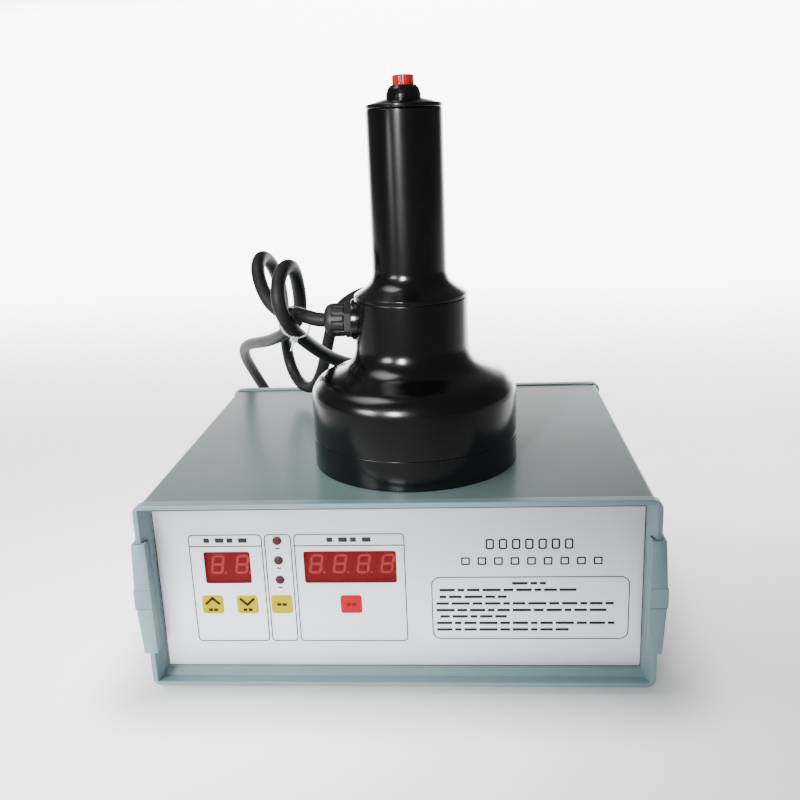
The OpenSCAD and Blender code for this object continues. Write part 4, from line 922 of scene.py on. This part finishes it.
carved(handle, settled(blank("cube", size=1), on_head(sum(notch_x) / 2, sum(notch_z) / 2), size=(
    (notch_x[1] - notch_x[0]) * mm, 2 * notch_half * mm, (notch_z[1] - notch_z[0]) * mm)))
cap = turned("cap_moulding", cap_profile)
head_mouldings = {"coil_cover": coil_cover, "bell_housing": bell, "handle": handle, "handle_cap": cap}
for node, piece in head_mouldings.items():
    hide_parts(node)
    dressed(piece, head_plastic)

# Push button: a round black switch body nutted through the cap, with a stepped collar
# and two tabs for its wires, and a bright red button with a ribbed rim that sinks into it.
collar_profile = [
    (2.7, 189.5, 0), (6, 189.5, 0), (6, 211.5, 0), (10, 211.5, 0), (10, 213.6, 0.6), (8.9, 216.9, 1.5),
    (7.2, 218.7, 0.5), (6.5, 218.7, 0.2), (6.5, 213, 0), (4.2, 213, 0), (4.2, 195.5, 0), (2.7, 195.5, 0),
    (2.7, 189.5, 0)]
button_profile = [
    (0, 188, 0), (3.3, 188, 0), (3.3, 189.2, 0), (2.4, 189.2, 0), (2.4, 216.3, 0), (6.2, 216.3, 0.2),
    (6.2, 224.3, 1.2), (3, 224.1, 2), (0, 224.0, 0)]
tab_x, tab_h, tab_size = 4.2, 186.0, (0.8 * mm, 2.8 * mm, 9.0 * mm)
button_steps, rib_foot, rib_inner_r, groove_share = 96, 216.8, 5.6, 0.93
collar = turned("switch_collar", collar_profile)
for side in (-1, 1):
    carved(collar, settled(blank("cube", size=1), on_head(side * tab_x, tab_h), size=tab_size), "UNION")
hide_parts("switch_body")
dressed(collar, head_plastic)
button = turned("red_button", button_profile, button_steps)
axis = Vector((head_x * mm, head_y * mm))
bpy.ops.object.mode_set(mode="EDIT")
pick("VERT", lambda p: p.z > (seat_z + rib_foot) * mm and (p.xy - axis).length > rib_inner_r * mm
     and round(degrees(atan2(p.y - axis.y, p.x - axis.x)) * button_steps / 360) % 4 == 0)
bpy.ops.transform.resize(value=(groove_share, groove_share, 1), center_override=(axis.x, axis.y, 0))
bpy.ops.object.mode_set(mode="OBJECT")
button_red, tone = new_finish("button_red")
coated(tone, {
    "Base Color": tone.blend(tone.noise(90, 3), (0.42, 0.002, 0.005, 1), (0.52, 0.004, 0.009, 1)),
    "Roughness": 0.2 + 0.08 * tone.noise(200), "Coat Weight": 0.4, "Coat Roughness": 0.06,
})
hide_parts("button_cap")
dressed(button, button_red, "push_button")

# Return spring: a coil of steel wire in the switch body, between its step and the button's underside.
spring_r, wire_r, turns = 3.35, 0.4, 6
spring_foot, spring_top, spring_step, stroke_down = 196.0, 215.8, 195.5, 3.0
spring = settled(blank("circle", vertices=12, radius=wire_r * mm), (spring_r * mm, 0, 0), (90, 0, 0))
spring.name = "return_spring"
coil = spring.modifiers.new("coil", "SCREW")
coil.steps = coil.render_steps = 36
coil.iterations = turns
coil.screw_offset = (spring_top - spring_foot) / turns * mm
bpy.ops.object.modifier_apply(modifier="coil")
settled(spring, on_head(0, spring_foot))
bpy.ops.object.mode_set(mode="EDIT")
bpy.ops.mesh.select_all(action="SELECT")
bpy.ops.mesh.remove_doubles(threshold=2e-6)
bpy.ops.mesh.fill_holes(sides=0)
bpy.ops.mesh.select_all(action="SELECT")
bpy.ops.mesh.normals_make_consistent(inside=False)
bpy.ops.object.mode_set(mode="OBJECT")
bpy.ops.object.shade_smooth_by_angle(angle=radians(50))
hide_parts("button_spring")
dressed(spring, screw_steel)
on_head(0, spring_step)
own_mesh(spring)

# Head gland: a black plastic cable gland screwed into the pad on the bell's neck,
# with a fluted nut that grips the cord.
cable_gland("head")
